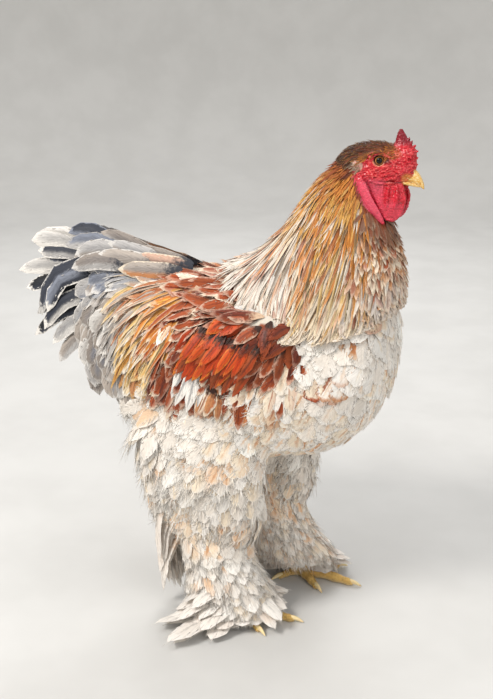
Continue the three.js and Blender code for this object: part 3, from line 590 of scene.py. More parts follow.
wattle = {
    # z, x, half length, off the middle, half thickness
    "flap": [
        (605, 160, 7, 9.5, 2.6), (598, 159, 12, 11, 4.0), (589, 158.6, 15.8, 12.6, 3.8),
        (578, 158.8, 16.8, 13.8, 3.4), (567, 159.4, 15, 14, 3.2), (558.5, 159.6, 11.4, 13.4, 2.9),
        (552.5, 159.6, 6.6, 12.8, 2.0), (550.6, 159.5, 2.4, 12.6, 1.0),
    ],
    "lobe": [
        (607, 119.6, 2.2, 23.4, 1.6), (601, 122.4, 4.0, 24.4, 2.4), (592, 126.2, 5.4, 24.8, 2.8),
        (583, 130, 6.0, 24.8, 2.8), (574, 134.4, 6.4, 24, 2.7), (565.5, 139.4, 6.3, 22.6, 2.5),
        (558, 144.4, 5.4, 21, 2.1), (552, 148.8, 3.7, 19.6, 1.6), (547.5, 152.6, 1.3, 18.8, 0.9),
    ],
    # the skin that joins flap and lobe
    "between": [
        (602, 138, 8, 15, 4), (595, 139, 12, 15, 4), (587, 141, 13, 15, 4),
        (579, 144, 11, 15, 4), (572, 147, 6, 15, 4),
    ],
    "rim": [
        (144.6, 16.6, 592), (143, 17, 581), (145, 16.6, 569), (149.6, 15.4, 559.6), (155.6, 13.8, 553.2),
        (163, 12.6, 552.8), (169.6, 11.8, 559), (173.8, 11.2, 569), (174.8, 10.6, 581), (171.6, 10.2, 593),
    ],
    "folds": [
        # thickness, then places
        (2.1, (165, 14.6, 597), (167.4, 16, 586), (166.4, 16.4, 574), (163, 15.4, 561)),
        (2.2, (157, 16.4, 598), (156, 17.8, 587), (154.8, 17.8, 575), (156.4, 16.4, 562)),
        (1.5, (150, 17.4, 597), (148.8, 18.2, 587), (148.8, 17.8, 576)),
    ],
}


def wattleParts(side):
    # inwards and upwards: how far the front of the leaf swings that way
    def leaf(name, inwards, upwards, segments, rings):
        return Form(
            [
                ((x, side * y, z), (long, -side * long * inwards, long * upwards), (0, thick, 0))
                for z, x, long, y, thick in wattle[name]
            ]
        ).body(name, segments, rings)

    parts = [leaf("flap", 0.16, 0, 28, 28), chain(onSide(side, wattle["rim"]), 1.9, "rim")]
    parts += [chain(onSide(side, places), thick) for thick, *places in wattle["folds"]]
    return parts + [leaf("lobe", 0, 0.35, 20, 24), leaf("between", 0, 0, 20, 16)]


def creases(places):
    stretched = places * np.array([1.0, 1.0, 2.2])
    return 1 - np.abs(noiseAt(stretched, 5.2)) * 2.8, 1 - np.abs(noiseAt(places, 2.1, 7.0)) * 2.6


def makeHead():
    head = [Form(ovalRings(skull), 1.04).body("skull", 40, 32)] + combParts()
    for side in sides:
        head += faceParts(side) + wattleParts(side)
    flesh = grownTogether(head, "flesh", "head", 2)
    # socket: the lids' edge stands round the eye, the eye lies in it
    places = placesOf(flesh)
    fromEye = np.hypot(places[:, 0] - eyePlace["x"], places[:, 2] - eyePlace["z"])
    socket = eyePlace["y"] + mix(1.5, 7.5, smooth(4.9, 6.9, fromEye))
    deep = (fromEye < 7) & (places[:, 2] > 600)
    places[deep, 1] = np.sign(places[deep, 1]) * np.minimum(np.abs(places[deep, 1]), socket[deep])
    setPlaces(flesh, places)
    return flesh


# Fine creases of the face and the pebbled grain of comb and wattles
def creaseHead(thing):
    places, normals = placesOf(thing), normalsOf(thing)
    bare = np.flatnonzero((places[:, 2] > 540) & (places[:, 0] > 104))
    x, z = places[bare, 0], places[bare, 2]
    hanging = smooth(606, 590, z) * smooth(112, 122, x)
    combed = smooth(628, 640, z + 0.45 * (x - 160)) * smooth(150, 158, x)
    face = 1 - np.maximum(hanging, combed)
    crease, pebble = creases(places[bare])
    fromEye = np.hypot(x - eyePlace["x"], z - eyePlace["z"])
    depth = face * 1.05 * crease * smooth(6, 12, fromEye) + (1 - face) * 0.7 * pebble
    depth *= 1 - 0.7 * smooth(16.5, 20.5, np.abs(places[bare, 1])) * hanging * smooth(155, 148, x)
    places[bare] += normals[bare] * (depth * smooth(104, 116, x))[:, None]
    setPlaces(thing, places)


# Feet: four scaly toes each, flat below
toes = {
    # heading in degrees towards the outer side, length, radius
    "middle": (-4, 84, 8.0),
    "inner": (-42, 54, 7.0),
    "outer": (36, 62, 7.0),
    "hind": (-128, 36, 6.2),
}
soleFlat = 1.6


def toeLine(side, toe):
    turn = math.radians(toes[toe][0])
    return (
        np.array([stance["footX"] + footShift(side), side * stance["y"], 0.0]),
        np.array([math.cos(turn), side * math.sin(turn), 0.0]),
    )


def makeToe(side, toe):
    start, d = toeLine(side, toe)
    _, length, radius = toes[toe]
    across = np.array([-d[1], d[0], 0])
    rings = []
    for k in np.linspace(0, 1, 15):
        joint = 1 + 0.09 * math.cos(k * 3 * math.tau)
        r = radius * mix(1.1, 0.62, k) * joint * (0.55 if k == 1 else 1)
        centre = start + d * length * k
        centre[2] = radius * mix(1.1, 0.62, k) - soleFlat + 1.8 * math.sin(k * math.pi)
        rings.append((centre, across * r, (0, 0, r)))
    return Form(rings).body("toe", 24, 40)


def makeFoot(side):
    x, y = stance["footX"] + footShift(side), side * stance["y"]
    pad = Form(
        [
            ((x, y, 40), (11, 0, 0), (0, 10, 0)),
            ((x, y, 20), (13, 0, 0), (0, 11, 0)),
            ((x + 1, y, 6), (14.5, 0, 0), (0, 12.5, 0)),
            ((x + 1, y, 0), (11, 0, 0), (0, 9, 0)),
        ]
    ).body("pad", 24, 16)
    foot = grownTogether([pad] + [makeToe(side, toe) for toe in toes], "foot", "foot", 3)
    # scutes: plates across the top of each toe
    places, normals = placesOf(foot), normalsOf(foot)
    depth = np.zeros(len(places))
    for toe in toes:
        start, d = toeLine(side, toe)
        away = places - start
        along = away @ d
        across = away[:, 0] * -d[1] + away[:, 1] * d[0]
        near = smooth(9.5, 6.0, np.abs(across)) * smooth(8, 14, along)
        plate = np.abs(((along / 5.2) % 1.0) - 0.5) * 2
        depth += near * smooth(0.0, 0.5, normals[:, 2]) * (0.45 - 0.9 * smooth(0.72, 1.0, plate))
    places = places + normals * depth[:, None]
    places[:, 2] = np.maximum(places[:, 2], 0.2)
    setPlaces(foot, places)
    return foot



# One skin
body = makeBodySkin()
stage("body skin")


def treeOf(thing):
    polygons = [tuple(face.vertices) for face in thing.data.polygons]
    return BVHTree.FromPolygons(placesOf(thing).tolist(), polygons)


bodyTree = treeOf(body)


def nearestOn(tree, places):
    found, normals = np.empty((len(places), 3)), np.empty((len(places), 3))
    for i, place in enumerate(places):
        hit = tree.find_nearest(Vector(place))
        found[i], normals[i] = hit[0], hit[1]
    return found, normals


# Sowing roots on a surface, no two nearer than the spacing
triesPerRoot = 6


def facesOf(thing):
    mesh = thing.data
    mesh.calc_loop_triangles()
    corners = np.empty(len(mesh.loop_triangles) * 3, np.int32)
    mesh.loop_triangles.foreach_get("vertices", corners)
    return placesOf(thing)[corners.reshape(-1, 3)]


bodyFaces = facesOf(body)


def sow(faces, where, spacing, seed):
    a, b, c = faces[:, 0], faces[:, 1], faces[:, 2]
    across = np.cross(b - a, c - a)
    area = np.linalg.norm(across, axis=1) / 2
    normals = unit(across)
    area = area * where((a + b + c) / 3, normals)
    rng = np.random.default_rng(seed)
    count = int(area.sum() / spacing**2 * triesPerRoot)
    pick = rng.choice(len(faces), count, p=area / area.sum())
    r, q = np.sqrt(rng.random(count))[:, None], rng.random(count)[:, None]
    points = a[pick] * (1 - r) + b[pick] * r * (1 - q) + c[pick] * r * q
    cells, kept = {}, []
    near = [(i, j, k) for i in (-1, 0, 1) for j in (-1, 0, 1) for k in (-1, 0, 1)]
    keys = np.floor(points / spacing).astype(int)
    limit = spacing * spacing
    plain = points.tolist()
    for i, (x, y, z) in enumerate(plain):
        kx, ky, kz = keys[i]
        clear = True
        for dx, dy, dz in near:
            other = cells.get((kx + dx, ky + dy, kz + dz))
            if other is not None:
                ox, oy, oz = other
                if (x - ox) ** 2 + (y - oy) ** 2 + (z - oz) ** 2 < limit:
                    clear = False
                    break
        if clear and (kx, ky, kz) not in cells:
            cells[(kx, ky, kz)] = (x, y, z)
            kept.append(i)
    return points[kept], normals[pick][kept]


# Paths from root to tip, laid over a surface
def layOver(tree, roots, lie, lengths, lift, steps, turn):
    count = len(roots)
    paths, normals = np.empty((count, steps, 3)), np.empty((count, steps, 3))
    here = np.array(roots, float)
    for k in range(steps):
        found, normal = nearestOn(tree, here)
        t = k / (steps - 1)
        paths[:, k] = found + normal * (lift * (0.08 + 0.92 * t**0.8))[:, None]
        normals[:, k] = normal
        way = lie(found, normal)
        way = unit(way - normal * (way * normal).sum(1, keepdims=True))
        side = np.cross(way, normal)
        way = way * np.cos(turn)[:, None] + side * np.sin(turn)[:, None]
        here = found + normal * 2 + way * (lengths / (steps - 1))[:, None]
    for _ in range(2):
        normals[:, 1:-1] = (normals[:, :-2] + 2 * normals[:, 1:-1] + normals[:, 2:]) / 4
        paths[:, 1:-1] = (paths[:, :-2] + 2 * paths[:, 1:-1] + paths[:, 2:]) / 4
    return paths, unit(normals)


# Feather shapes in their own measures: across -1 to 1, along 0 to 1, and height
vaneShapes = {
    # name: stations along and half widths there; the last one is the point of the tip
    "round": [(0, 0.14), (0.14, 0.5), (0.34, 0.84), (0.56, 1.0), (0.76, 0.97), (0.91, 0.68), (1, 0)],
    "broad": [(0, 0.2), (0.12, 0.66), (0.36, 0.96), (0.62, 1.0), (0.82, 0.9), (0.94, 0.56), (1, 0)],
    "oval": [(0, 0.16), (0.16, 0.55), (0.38, 0.9), (0.58, 1.0), (0.78, 0.8), (0.92, 0.42), (1, 0)],
    "lance": [(0, 0.3), (0.2, 0.72), (0.45, 1.0), (0.7, 0.82), (0.88, 0.42), (1, 0)],
    "blade": [(0, 0.3), (0.1, 0.7), (0.3, 0.96), (0.6, 1.0), (0.82, 0.9), (0.94, 0.6), (1, 0)],
    "tuft": [(0, 0.14), (0.16, 0.54), (0.36, 0.86), (0.56, 0.92), (0.72, 0.74), (0.83, 0.4), (0.88, 0)],
}


def template(look, seed):
    rng = np.random.default_rng(seed)
    stations, ragged = vaneShapes[look["shape"]], look.get("ragged", 0.1)
    strands, reach = look.get("strands", 0), look.get("reach", 0.2)
    columns = np.linspace(-1, 1, look.get("columns", 5))
    wide = len(columns)
    points, tone, faces, sharp = [], [], [], []
    last = len(stations) - 1
    for i, (t, half) in enumerate(stations[:-1]):
        left, right = 1 + ragged * rng.uniform(-1, 0.6, 2)
        for c in columns:
            back = 0.05 * abs(c) * half * min(i, 1)
            x, rise = c * half * (left if c < 0 else right), (1 - c * c) * (1.0 if c else 1.35)
            points.append((x, t - back, rise))
            tone.append((c, t))
            sharp.append(abs(c) == 1 or i == 0)
    points.append((rng.uniform(-0.12, 0.12), stations[-1][0], 0.4))
    tone.append((0, 1))
    sharp.append(True)
    for i in range(last - 1):
        a, b = i * wide, (i + 1) * wide
        faces += [(a + c, a + c + 1, b + c + 1, b + c) for c in range(wide - 1)]
        faces.append((a + wide - 1, a, b, b + wide - 1))
    a, tip = (last - 1) * wide, last * wide
    faces += [(a + c, a + c + 1, tip) for c in range(wide - 1)]
    faces += [(a + wide - 1, a, tip), tuple(range(wide - 1, -1, -1))]
    widths = np.array(stations)
    for k in range(strands):
        # a loose barb that leaves the edge and runs on towards the tip
        side = -1 if k % 2 else 1
        t = min(1 - look.get("spread", 0.62) * (k / max(strands - 1, 1)) ** 1.25 - rng.uniform(0, 0.05), 0.97)
        half = np.interp(t, widths[:, 0], widths[:, 1])
        lean = mix(0.25, 1.1, min(1.0, (1 - t) * 2.2)) * rng.uniform(0.6, 1.3)
        long = reach * rng.uniform(0.55, 1.35)
        base = len(points)
        foot = np.array([side * half * rng.uniform(0.3, 0.92), t - 0.06])
        way = np.array([side * math.sin(lean) * 1.5, math.cos(lean)])
        n = np.array([way[1], -way[0] / 1.5]) * look.get("thin", 0.05) * rng.uniform(0.7, 1.2)
        for d, up in ((-1, 0), (1, 0), (0, 0.9)):
            points.append((foot[0] + n[0] * d, foot[1] + n[1] * d * 0.5, 0.2 + up))
            tone.append((side * 0.9, t))
        p = foot + way * long
        points.append((p[0], p[1], rng.uniform(0.2, 2.6)))
        tone.append((side * 0.95, 1.0))
        sharp += [False] * 4
        faces += [(base + i, base + j, base + 3) for i, j in ((0, 1), (1, 2), (2, 0))]
        faces.append((base + 2, base + 1, base))
    points = np.array(points)
    return {"points": points, "tone": np.array(tone, float), "faces": faces, "sharp": np.array(sharp)}


# An unwrap of the skin around an axis of its own: each feather keeps a small patch at its root's place
patchSize, cellSize = 0.003, 0.0036
mapMargin, mapSpan = 0.01, 0.975


def unwrapped(roots, axis):
    low, high = roots.min(0), roots.max(0)
    middle = (low + high) / 2
    i, j, k = {"x": (1, 2, 0), "z": (0, 1, 2)}[axis]
    turn = np.arctan2(roots[:, i] - middle[i], roots[:, j] - middle[j]) / math.tau + 0.5
    rise = (roots[:, k] - low[k]) / (high[k] - low[k])
    places = np.stack([mapMargin + turn * mapSpan, mapMargin + rise * mapSpan], axis=1)
    taken, cells = set(), []
    ring = sorted(
        ((i, j) for i in range(-9, 10) for j in range(-9, 10)), key=lambda c: c[0] ** 2 + c[1] ** 2
    )
    limit = int((1 - mapMargin) / cellSize)
    for place in places:
        x, y = int(place[0] / cellSize), int(place[1] / cellSize)
        for dx, dy in ring:
            cell = (min(max(x + dx, 0), limit), min(max(y + dy, 0), limit))
            if cell not in taken:
                break
        taken.add(cell)
        cells.append(cell)
    return np.array(cells) * cellSize


coatCount = {}


def plumage(name, paths, normals, widths, look, tones, axis, seed):
    # look: shape, columns, strands, reach, spread, thin, ragged, thick, cup, roll, curl
    count, steps = paths.shape[:2]
    rng = np.random.default_rng(seed)
    kinds = [template(look, seed * 7 + k) for k in range(6)]
    choice = rng.integers(0, len(kinds), count)
    rolls = rng.normal(0, look.get("roll", 0.16), count)
    curls = rng.uniform(*look.get("curl", (-0.5, 2.5)), count)
    bake = unwrapped(paths[:, 0], axis)
    tangent = unit(np.gradient(paths, axis=1))
    parts = {key: [] for key in ("place", "vane", "bake", "ground", "rim", "streak", "sharp")}
    loops, totals, base = [], [], 0
    for k, kind in enumerate(kinds):
        mine = np.flatnonzero(choice == k)
        if not len(mine):
            continue
        across, along, height = kind["points"].T
        m = len(across)
        t = along * (steps - 1)
        i = np.clip(np.floor(t).astype(int), 0, steps - 2)
        f = (t - i)[None, :, None]
        p = paths[mine][:, i] * (1 - f) + paths[mine][:, i + 1] * f
        f = np.clip(f, 0, 1)
        n = unit(normals[mine][:, i] * (1 - f) + normals[mine][:, i + 1] * f)
        d = unit(tangent[mine][:, i] * (1 - f) + tangent[mine][:, i + 1] * f)
        p = p + n * (curls[mine][:, None] * np.maximum(along, 0) ** 3)[..., None]
        side = unit(np.cross(n, d))
        n = np.cross(d, side)
        roll = rolls[mine][:, None, None]
        side, n = side * np.cos(roll) + n * np.sin(roll), n * np.cos(roll) - side * np.sin(roll)
        half = (widths[mine] / 2)[:, None]
        x = across[None, :] * half
        cup = look.get("cup", 0.3)
        h = height[None, :] * look.get("thick", 0.45) - cup * x * x / np.maximum(half, 0.1)
        place = p + side * x[..., None] + n * h[..., None]
        parts["place"].append(place.reshape(-1, 3))
        vane = kind["tone"] * (0.5, 1) + (0.5, 0)
        parts["vane"].append(np.tile(vane, (len(mine), 1)))
        parts["bake"].append((bake[mine][:, None, :] + vane[None] * patchSize).reshape(-1, 2))
        for key in ("ground", "rim", "streak"):
            spread = np.repeat(tones[key][mine], m, axis=0)
            if key == "ground" and "far" in tones:
                beyond = np.tile(kind["tone"][:, 0] > 0.2, len(mine))
                spread[beyond] = np.repeat(tones["far"][mine], m, axis=0)[beyond]
            parts[key].append(spread)
        parts["sharp"].append(np.tile(kind["sharp"], len(mine)))
        flat = np.array([v for face in kind["faces"] for v in face])
        sizes = np.array([len(face) for face in kind["faces"]])
        shift = base + np.arange(len(mine))[:, None] * m
        loops.append((flat[None, :] + shift).ravel())
        totals.append(np.tile(sizes, len(mine)))
        base += m * len(mine)
    parts = {key: np.concatenate(value) for key, value in parts.items()}
    loops, totals = np.concatenate(loops).astype(np.int32), np.concatenate(totals).astype(np.int32)
    mesh = bpy.data.meshes.new(name)
    mesh.vertices.add(base)
    mesh.loops.add(len(loops))
    mesh.polygons.add(len(totals))
    mesh.loops.foreach_set("vertex_index", loops)
    mesh.polygons.foreach_set("loop_start", np.concatenate([[0], np.cumsum(totals)[:-1]]).astype(np.int32))
    thing = bpy.data.objects.new(name, mesh)
    bpy.context.collection.objects.link(thing)
    parts["place"][:, 2] = np.maximum(parts["place"][:, 2], 0.6)
    setPlaces(thing, parts["place"])
    mesh.update(calc_edges=True)
    smoothFaces(thing)
    ends = np.empty(len(mesh.edges) * 2, np.int32)
    mesh.edges.foreach_get("vertices", ends)
    crisp = parts["sharp"][ends.reshape(-1, 2)].all(axis=1)
    mesh.attributes.new("sharp_edge", "BOOLEAN", "EDGE").data.foreach_set("value", crisp)
    for key in ("ground", "rim", "streak"):
        paint(thing, key, parts[key])
    for key, title in (("vane", "Vane"), ("bake", "OFBake")):
        layer = mesh.uv_layers.new(name=title)
        layer.data.foreach_set("uv", parts[key][loops].astype(np.float32).ravel())
    coatCount[name] = int((totals - 2).sum())
    stage(f"{name}: {count} feathers, {coatCount[name]} triangles")
    return thing


# Palettes of the plumage: share, ground, the half behind the shaft, rim, streak
toneKeys = ("ground", "far", "rim", "streak")
palettes = {
    "breast": [
        "60 milk white white milk", "30 white milk white cream",
        "8 cream white white peach", "2 cream peach white tan",
    ],
    "belly": [
        "30 cream milk white tan", "30 milk cream white peach",
        "26 white cream white peach", "4 peach cream cream peach",
    ],
    "spotted": ["5 tan sienna cream rust", "4 cream peach sienna rust", "2 white peach tan peach"],
    "brownFluff": ["5 tan peach cream sienna", "4 peach tan cream sienna", "4 cream peach white tan"],
    "fluff": [
        "50 milk white white milk", "22 cream milk white cream",
        "6 peach cream white peach", "30 white white white milk",
    ],
    "peachFluff": ["5 peach cream white tan", "5 milk peach white peach", "5 cream peach white peach"],
    "back": [
        "5 sienna blush cream mahogany", "4 rust sienna blush mahogany",
        "3 cream blush white sienna", "3 tan sienna cream rust",
    ],
    "mahogany": [
        "5 mahogany rust blush darkBrown", "5 rust sienna blush mahogany",
        "3 sienna rust cream mahogany", "3 sienna blush cream rust",
    ],
    "ember": [
        "6 ember flame sienna mahogany", "4 flame ember orange mahogany",
        "4 rust ember sienna mahogany", "1 sienna flame blush rust",
    ],
    "chestnut": [
        "5 mahogany rust sienna darkBrown", "4 rust sienna sienna mahogany",
        "2 sienna tan blush rust",
    ],
    "straw": [
        "6 straw gold cream stripe", "4 gold orange straw rust",
        "3 cream straw white stripe", "2 tan gold straw darkBrown",
    ],
    "orange": [
        "5 orange gold cream sienna", "4 gold orange cream rust",
        "2 cream orange white rust", "2 sienna orange cream rust",
    ],
    "creamBrown": ["4 cream tan white sienna", "3 tan sienna cream rust", "4 dove tan cream greige"],
    "dove": [
        "6 dove greige pearl greige", "4 greige dove pearl blueGrey",
        "3 ash dove white greige", "1 pearl dove white greige",
    ],
    "greyTop": [
        "5 blueGrey ash pearl slate", "4 ash blueGrey white blueGrey",
        "2 dove ash pearl blueGrey",
    ],
    "cape": ["4 pearl white white greige", "3 ash pearl white greige", "3 cream straw white stripe"],
}
paletteNames = list(palettes)
zones = [
    # x, z, reach in x and in z, palette; a later one covers an earlier one
    (92, 272, 104, 50, "belly"),
    (-60, 468, 118, 34, "back"),
    (-232, 468, 66, 42, "greyTop"),
    (-232, 350, 52, 86, "dove"),
    (-176, 424, 30, 44, "creamBrown"),
    (-150, 360, 28, 66, "straw"),
    (-120, 410, 30, 42, "orange"),
    (-72, 428, 46, 32, "mahogany"),
    (-14, 436, 52, 30, "mahogany"),
    (30, 462, 42, 34, "cape"),
    (40, 440, 20, 18, "cape"),
    (-16, 388, 50, 34, "ember"),
    (40, 404, 32, 24, "chestnut"),
    (64, 404, 16, 13, "chestnut"),
    (-96, 330, 24, 32, "mahogany"),
    (12, 340, 34, 14, "brownFluff"),
    (36, 302, 24, 12, "brownFluff"),
    (-30, 318, 12, 14, "spotted"),
    (107, 343, 17, 12, "spotted"),
    (142, 401, 13, 13, "spotted"),
    (128, 372, 9, 10, "spotted"),
    (154, 432, 14, 16, "spotted"),
    (162, 330, 16, 30, "belly"),
    (-86, 116, 40, 28, "peachFluff"),
    (0, 130, 34, 20, "peachFluff"),
    (-10, 232, 56, 15, "peachFluff"),
    (84, 205, 30, 50, "peachFluff"),
]


def apart(places, x, z, reachX, reachZ):
    return np.hypot((places[:, 0] - x) / reachX, (places[:, 2] - z) / reachZ)


def zoneOf(places, start, rng=None):
    wobble = noiseAt(places, 17) * 0.5
    if rng is not None:
        wobble = wobble + rng.normal(0, 0.12, len(places))
    index = np.full(len(places), paletteNames.index(start))
    for *zone, name in zones:
        index[apart(places, *zone) + wobble < 1] = paletteNames.index(name)
    return index


def sameFor(name, count):
    return np.tile(colours[name], (count, 1))


def uneven(rng, tones, spread=0.1):
    return np.clip(tones * (1 + rng.uniform(-spread, spread, (len(tones), 1))), 0, 1)


def sharesOf(rows):
    shares = np.array([row.split()[0] for row in rows], float)
    return shares / shares.sum()


def tonesOf(rows, column):
    return np.array([colours[row.split()[column + 1]] for row in rows])


def picked(rng, index, spread=0.1):
    tones = {key: np.zeros((len(index), 3)) for key in toneKeys}
    for k in np.unique(index):
        rows = palettes[paletteNames[k]]
        mine = np.flatnonzero(index == k)
        choice = rng.choice(len(rows), len(mine), p=sharesOf(rows))
        for column, key in enumerate(toneKeys):
            tones[key][mine] = tonesOf(rows, column)[choice]
    rimmed = rng.uniform(0.35, 1, len(index))
    tones["rim"] = blend(tones["ground"], tones["rim"], rimmed)
    tones["streak"] = blend(tones["ground"], tones["streak"], rng.uniform(0.2, 0.9, len(index)))
    shade = 1 + rng.uniform(-spread, spread, (len(index), 1))
    return {key: np.clip(tone * shade, 0, 0.96) for key, tone in tones.items()}


def pickedOne(rng, palette, spread=0.1):
    tones = picked(rng, np.array([paletteNames.index(palette)]), spread)
    return [tones[key][0] for key in toneKeys]


def zoneWeight(places, *zone):
    return smooth(1.2, 0.7, apart(places, *zone))


# The same markings on the skin below, darker by painted shade where the skin shows in the gaps between
# feathers
def markings(places):
    start = "breast"
    index = zoneOf(places, start)
    behind = (places[:, 0] < -190) & (places[:, 2] > 300)
    index[behind & (index == paletteNames.index(start))] = paletteNames.index("dove")
    table = []
    for rows in palettes.values():
        ground = (tonesOf(rows, 0) + tonesOf(rows, 1)) / 2
        table.append(ground.T @ sharesOf(rows))
    # times 0.85: painted shade on the skin between the feathers
    return np.array(table)[index] * 0.85


# Zones of the skin
def wingSpan(places):
    (frontX, frontZ), (rearX, rearZ) = wing["front"], wing["rear"]
    run = np.array([rearX - frontX, rearZ - frontZ])
    away = np.stack([places[:, 0] - frontX, places[:, 2] - frontZ], axis=1)
    s = away @ run / (run @ run)
    r = away @ np.array([run[1], -run[0]]) / np.linalg.norm(run)
    at = np.clip(s, 0, 1) * 5
    rise = np.interp(at, range(6), wing["rise"])
    fall = np.interp(at, range(6), wing["fall"])
    return s, np.where(r > 0, r / rise, r / fall)


def inWing(p):
    s, r = wingSpan(p)
    return (s > 0.0) & (s < 0.86) & (np.abs(r) < 0.96) & (np.abs(p[:, 1]) > 80)


def inThigh(p):
    x = p[:, 0] + 62 - np.where(p[:, 1] > 0, stance["thighAhead"], 0)
    return (p[:, 2] < 262) & (p[:, 2] > 92) & ((x / 118) ** 2 + ((np.abs(p[:, 1]) - 76) / 66) ** 2 < 1)


def inTorso(p):
    return (p[:, 2] > 205) & ~inThigh(p) & (p[:, 2] < 478)


lieDown = lambda x, z: lambda p, n: np.tile(np.array([x, 0.0, z]), (len(p), 1))


coat = []  # every piece of plumage with its slot and the solids it stands for


def keep(thing, slot, *nodes):
    coat.append((thing, slot, nodes))


# where: a mask over places and normals; length, width, lift: least and most; ground: palette outside zones
def bodyTract(
    name, where, lie, look, spacing, length, width, lift, ground, seed,
    slot="body_feathers", nodes=("torso",), axis="x",
):
    rng = np.random.default_rng(seed)
    roots, _ = sow(bodyFaces, where, spacing, seed)
    count = len(roots)
    lengths = rng.uniform(*length, count)
    widths = rng.uniform(*width, count)
    turn = rng.normal(0, look.get("sway", 0.1), count)
    paths, normals = layOver(bodyTree, roots, lie, lengths, rng.uniform(*lift, count), 7, turn)
    tones = picked(rng, zoneOf(paths[:, -2], ground, rng))
    keep(plumage(name, paths, normals, widths, look, tones, axis, seed), slot, *nodes)


soft = {
    "shape": "round", "columns": 3, "strands": 18, "reach": 0.16, "ragged": 0.08, "thin": 0.045,
    "spread": 0.75, "cup": 0.2, "sway": 0.2, "roll": 0.05, "curl": (-1, 0.8),
}
neat = {
    "shape": "oval", "columns": 3, "strands": 11, "reach": 0.18, "ragged": 0.2, "thin": 0.05,
    "cup": 0.34, "sway": 0.26, "roll": 0.26,
}
fluffy = dict(soft, shape="tuft", reach=0.34, spread=0.85, sway=0.28, curl=(-1, 3))
silky = {
    "shape": "lance", "columns": 3, "strands": 4, "reach": 0.14, "ragged": 0.16, "thin": 0.07,
    "cup": 0.4, "sway": 0.12, "roll": 0.3, "curl": (-1, 2),
}

bodyTract(
    "breastFeathers",
    lambda p, n: inTorso(p) & ~inWing(p) & (p[:, 0] > 62) & (p[:, 2] < 462),
    lieDown(-0.4, -1.0), soft, 10.4, (42, 58), (30, 40), (5, 9), "breast", 11,
)
bodyTract(
    "flankFeathers",
    lambda p, n: inTorso(p) & ~inWing(p) & (p[:, 0] <= 62) & (p[:, 0] > -140) & (p[:, 2] < 352),
    lieDown(-0.6, -0.85), dict(soft, reach=0.3), 10, (42, 58), (25, 34), (6, 11),
    "breast", 12,
)


# From the back to the wings the feathers lie ever steeper
def lieSteeper(p, n):
    heading = np.radians(mix(12, 66, smooth(470, 388, p[:, 2])))
    return np.stack([-np.cos(heading), 0 * heading, -np.sin(heading)], axis=1)


bodyTract(
    "backFeathers",
    lambda p, n: inTorso(p) & ~inWing(p) & (p[:, 0] <= 66) & (p[:, 0] > -160) & (p[:, 2] >= 348),
    lieSteeper, neat, 11.5, (44, 60), (17, 24), (7, 14), "back", 13,
)
bodyTract(
    "saddleFeathers",
    lambda p, n: (p[:, 2] > 408) & (p[:, 2] < 456) & (p[:, 0] < -70) & (p[:, 0] > -160) & ~inWing(p),
    lieDown(-0.46, -0.89),
    dict(silky, sway=0.16), 7.5, (86, 122), (9, 13), (12, 19), "straw", 14,
)
bodyTract(
    "rumpFeathers",
    lambda p, n: (p[:, 0] <= -146) & (p[:, 2] > 290) & ~inThigh(p) & (n[:, 0] > -0.99),
    lieDown(-0.5, -1.0), dict(soft, strands=8, reach=0.1), 13, (50, 70), (23, 30), (9, 16),
    "dove", 15, nodes=("torso", "tail"),
)
bodyTract(
    "rearDown",
    lambda p, n: (p[:, 0] <= -110) & (p[:, 2] <= 320) & (p[:, 2] > 196) & ~inThigh(p),
    lieDown(-0.6, -0.9), fluffy, 7.4, (48, 74), (24, 32), (9, 26), "fluff", 16,
)
for side in sides:
    word, title = sideNames[side], sideTitles[side]
    bodyTract(
        f"wingCoverts{title}",
        lambda p, n: inWing(p) & (p[:, 1] * side > 0),
        lieSteeper, neat, 9.5, (36, 50), (15, 21), (6, 12), "mahogany", 20 + side,
        "wing_feathers", (f"wing_{word}",),
    )
    bodyTract(
        f"thighFeathers{title}",
        lambda p, n: inThigh(p) & (p[:, 1] * side > 0),
        lieDown(-0.3, -1.0), fluffy, 7.4, (40, 58), (24, 32), (6, 13), "fluff", 30 + side,
        "leg_feathers", (f"thigh_{word}",), "z",
    )


# Feathers laid on a form of their own: neck, front of the neck, boots
def layOnForm(form, root, tip, around, drift, deep, rise, steps=8):
    t = np.linspace(0, 1, steps)
    u = np.clip(root[:, None] + (tip - root)[:, None] * t, 0, 1)
    a = around[:, None] + drift[:, None] * t
    middle = curveThrough(form.rings, u)[..., 0:3]
    depth = mix(deep, 1.0, t**0.7)[None, :] + rise[:, None] * t
    return middle + (form.at(u, a) - middle) * depth[..., None], form.normal(np.clip(u, 0.01, 0.99), a)


goldenAngle, goldenShare = 2.399963, 0.618034  # steps that spread roots evenly
neckLength = {"front": 172, "behind": 246}
hackle = {"count": 2700, "long": (24, 104), "wide": (3.2, 10.5), "depth": 0.85, "bareFront": 46}
throat = {"count": 900, "long": (15, 38), "wide": (5, 13)}
# heights, and the lobe's rear edge there: no feather lies before it
lobeEdge = ([544, 548, 557, 566, 583, 604, 614], [158, 152, 142, 134, 125, 118, 115])


def clearOfLobe(paths):
    edge = np.interp(paths[..., 2], *lobeEdge)
    before = (paths[..., 0] > edge) & (paths[..., 2] > 548) & (np.abs(paths[..., 1]) > 9)
    return ~before.any(axis=1)


def alongNeck(tips, around):
    behind = smooth(-0.2, -0.9, np.cos(around))
    stops = [0, 0.1, 0.2, 0.32, 0.6, 0.86, 1.0]
    names = ["darkBrown", "rust", "orange", "gold", "gold", "straw", "cream"]
    table = np.array([colours[n] for n in names])
    ground = np.stack([np.interp(tips, stops, table[:, k]) for k in range(3)], axis=1)
    ground = blend(ground, "rust", behind * smooth(0.4, 0.2, tips) * 0.7)
    cape = smooth(-0.1, -0.65, np.cos(around))
    return blend(ground, "white", cape * smooth(0.5, 0.85, tips) * 0.8)


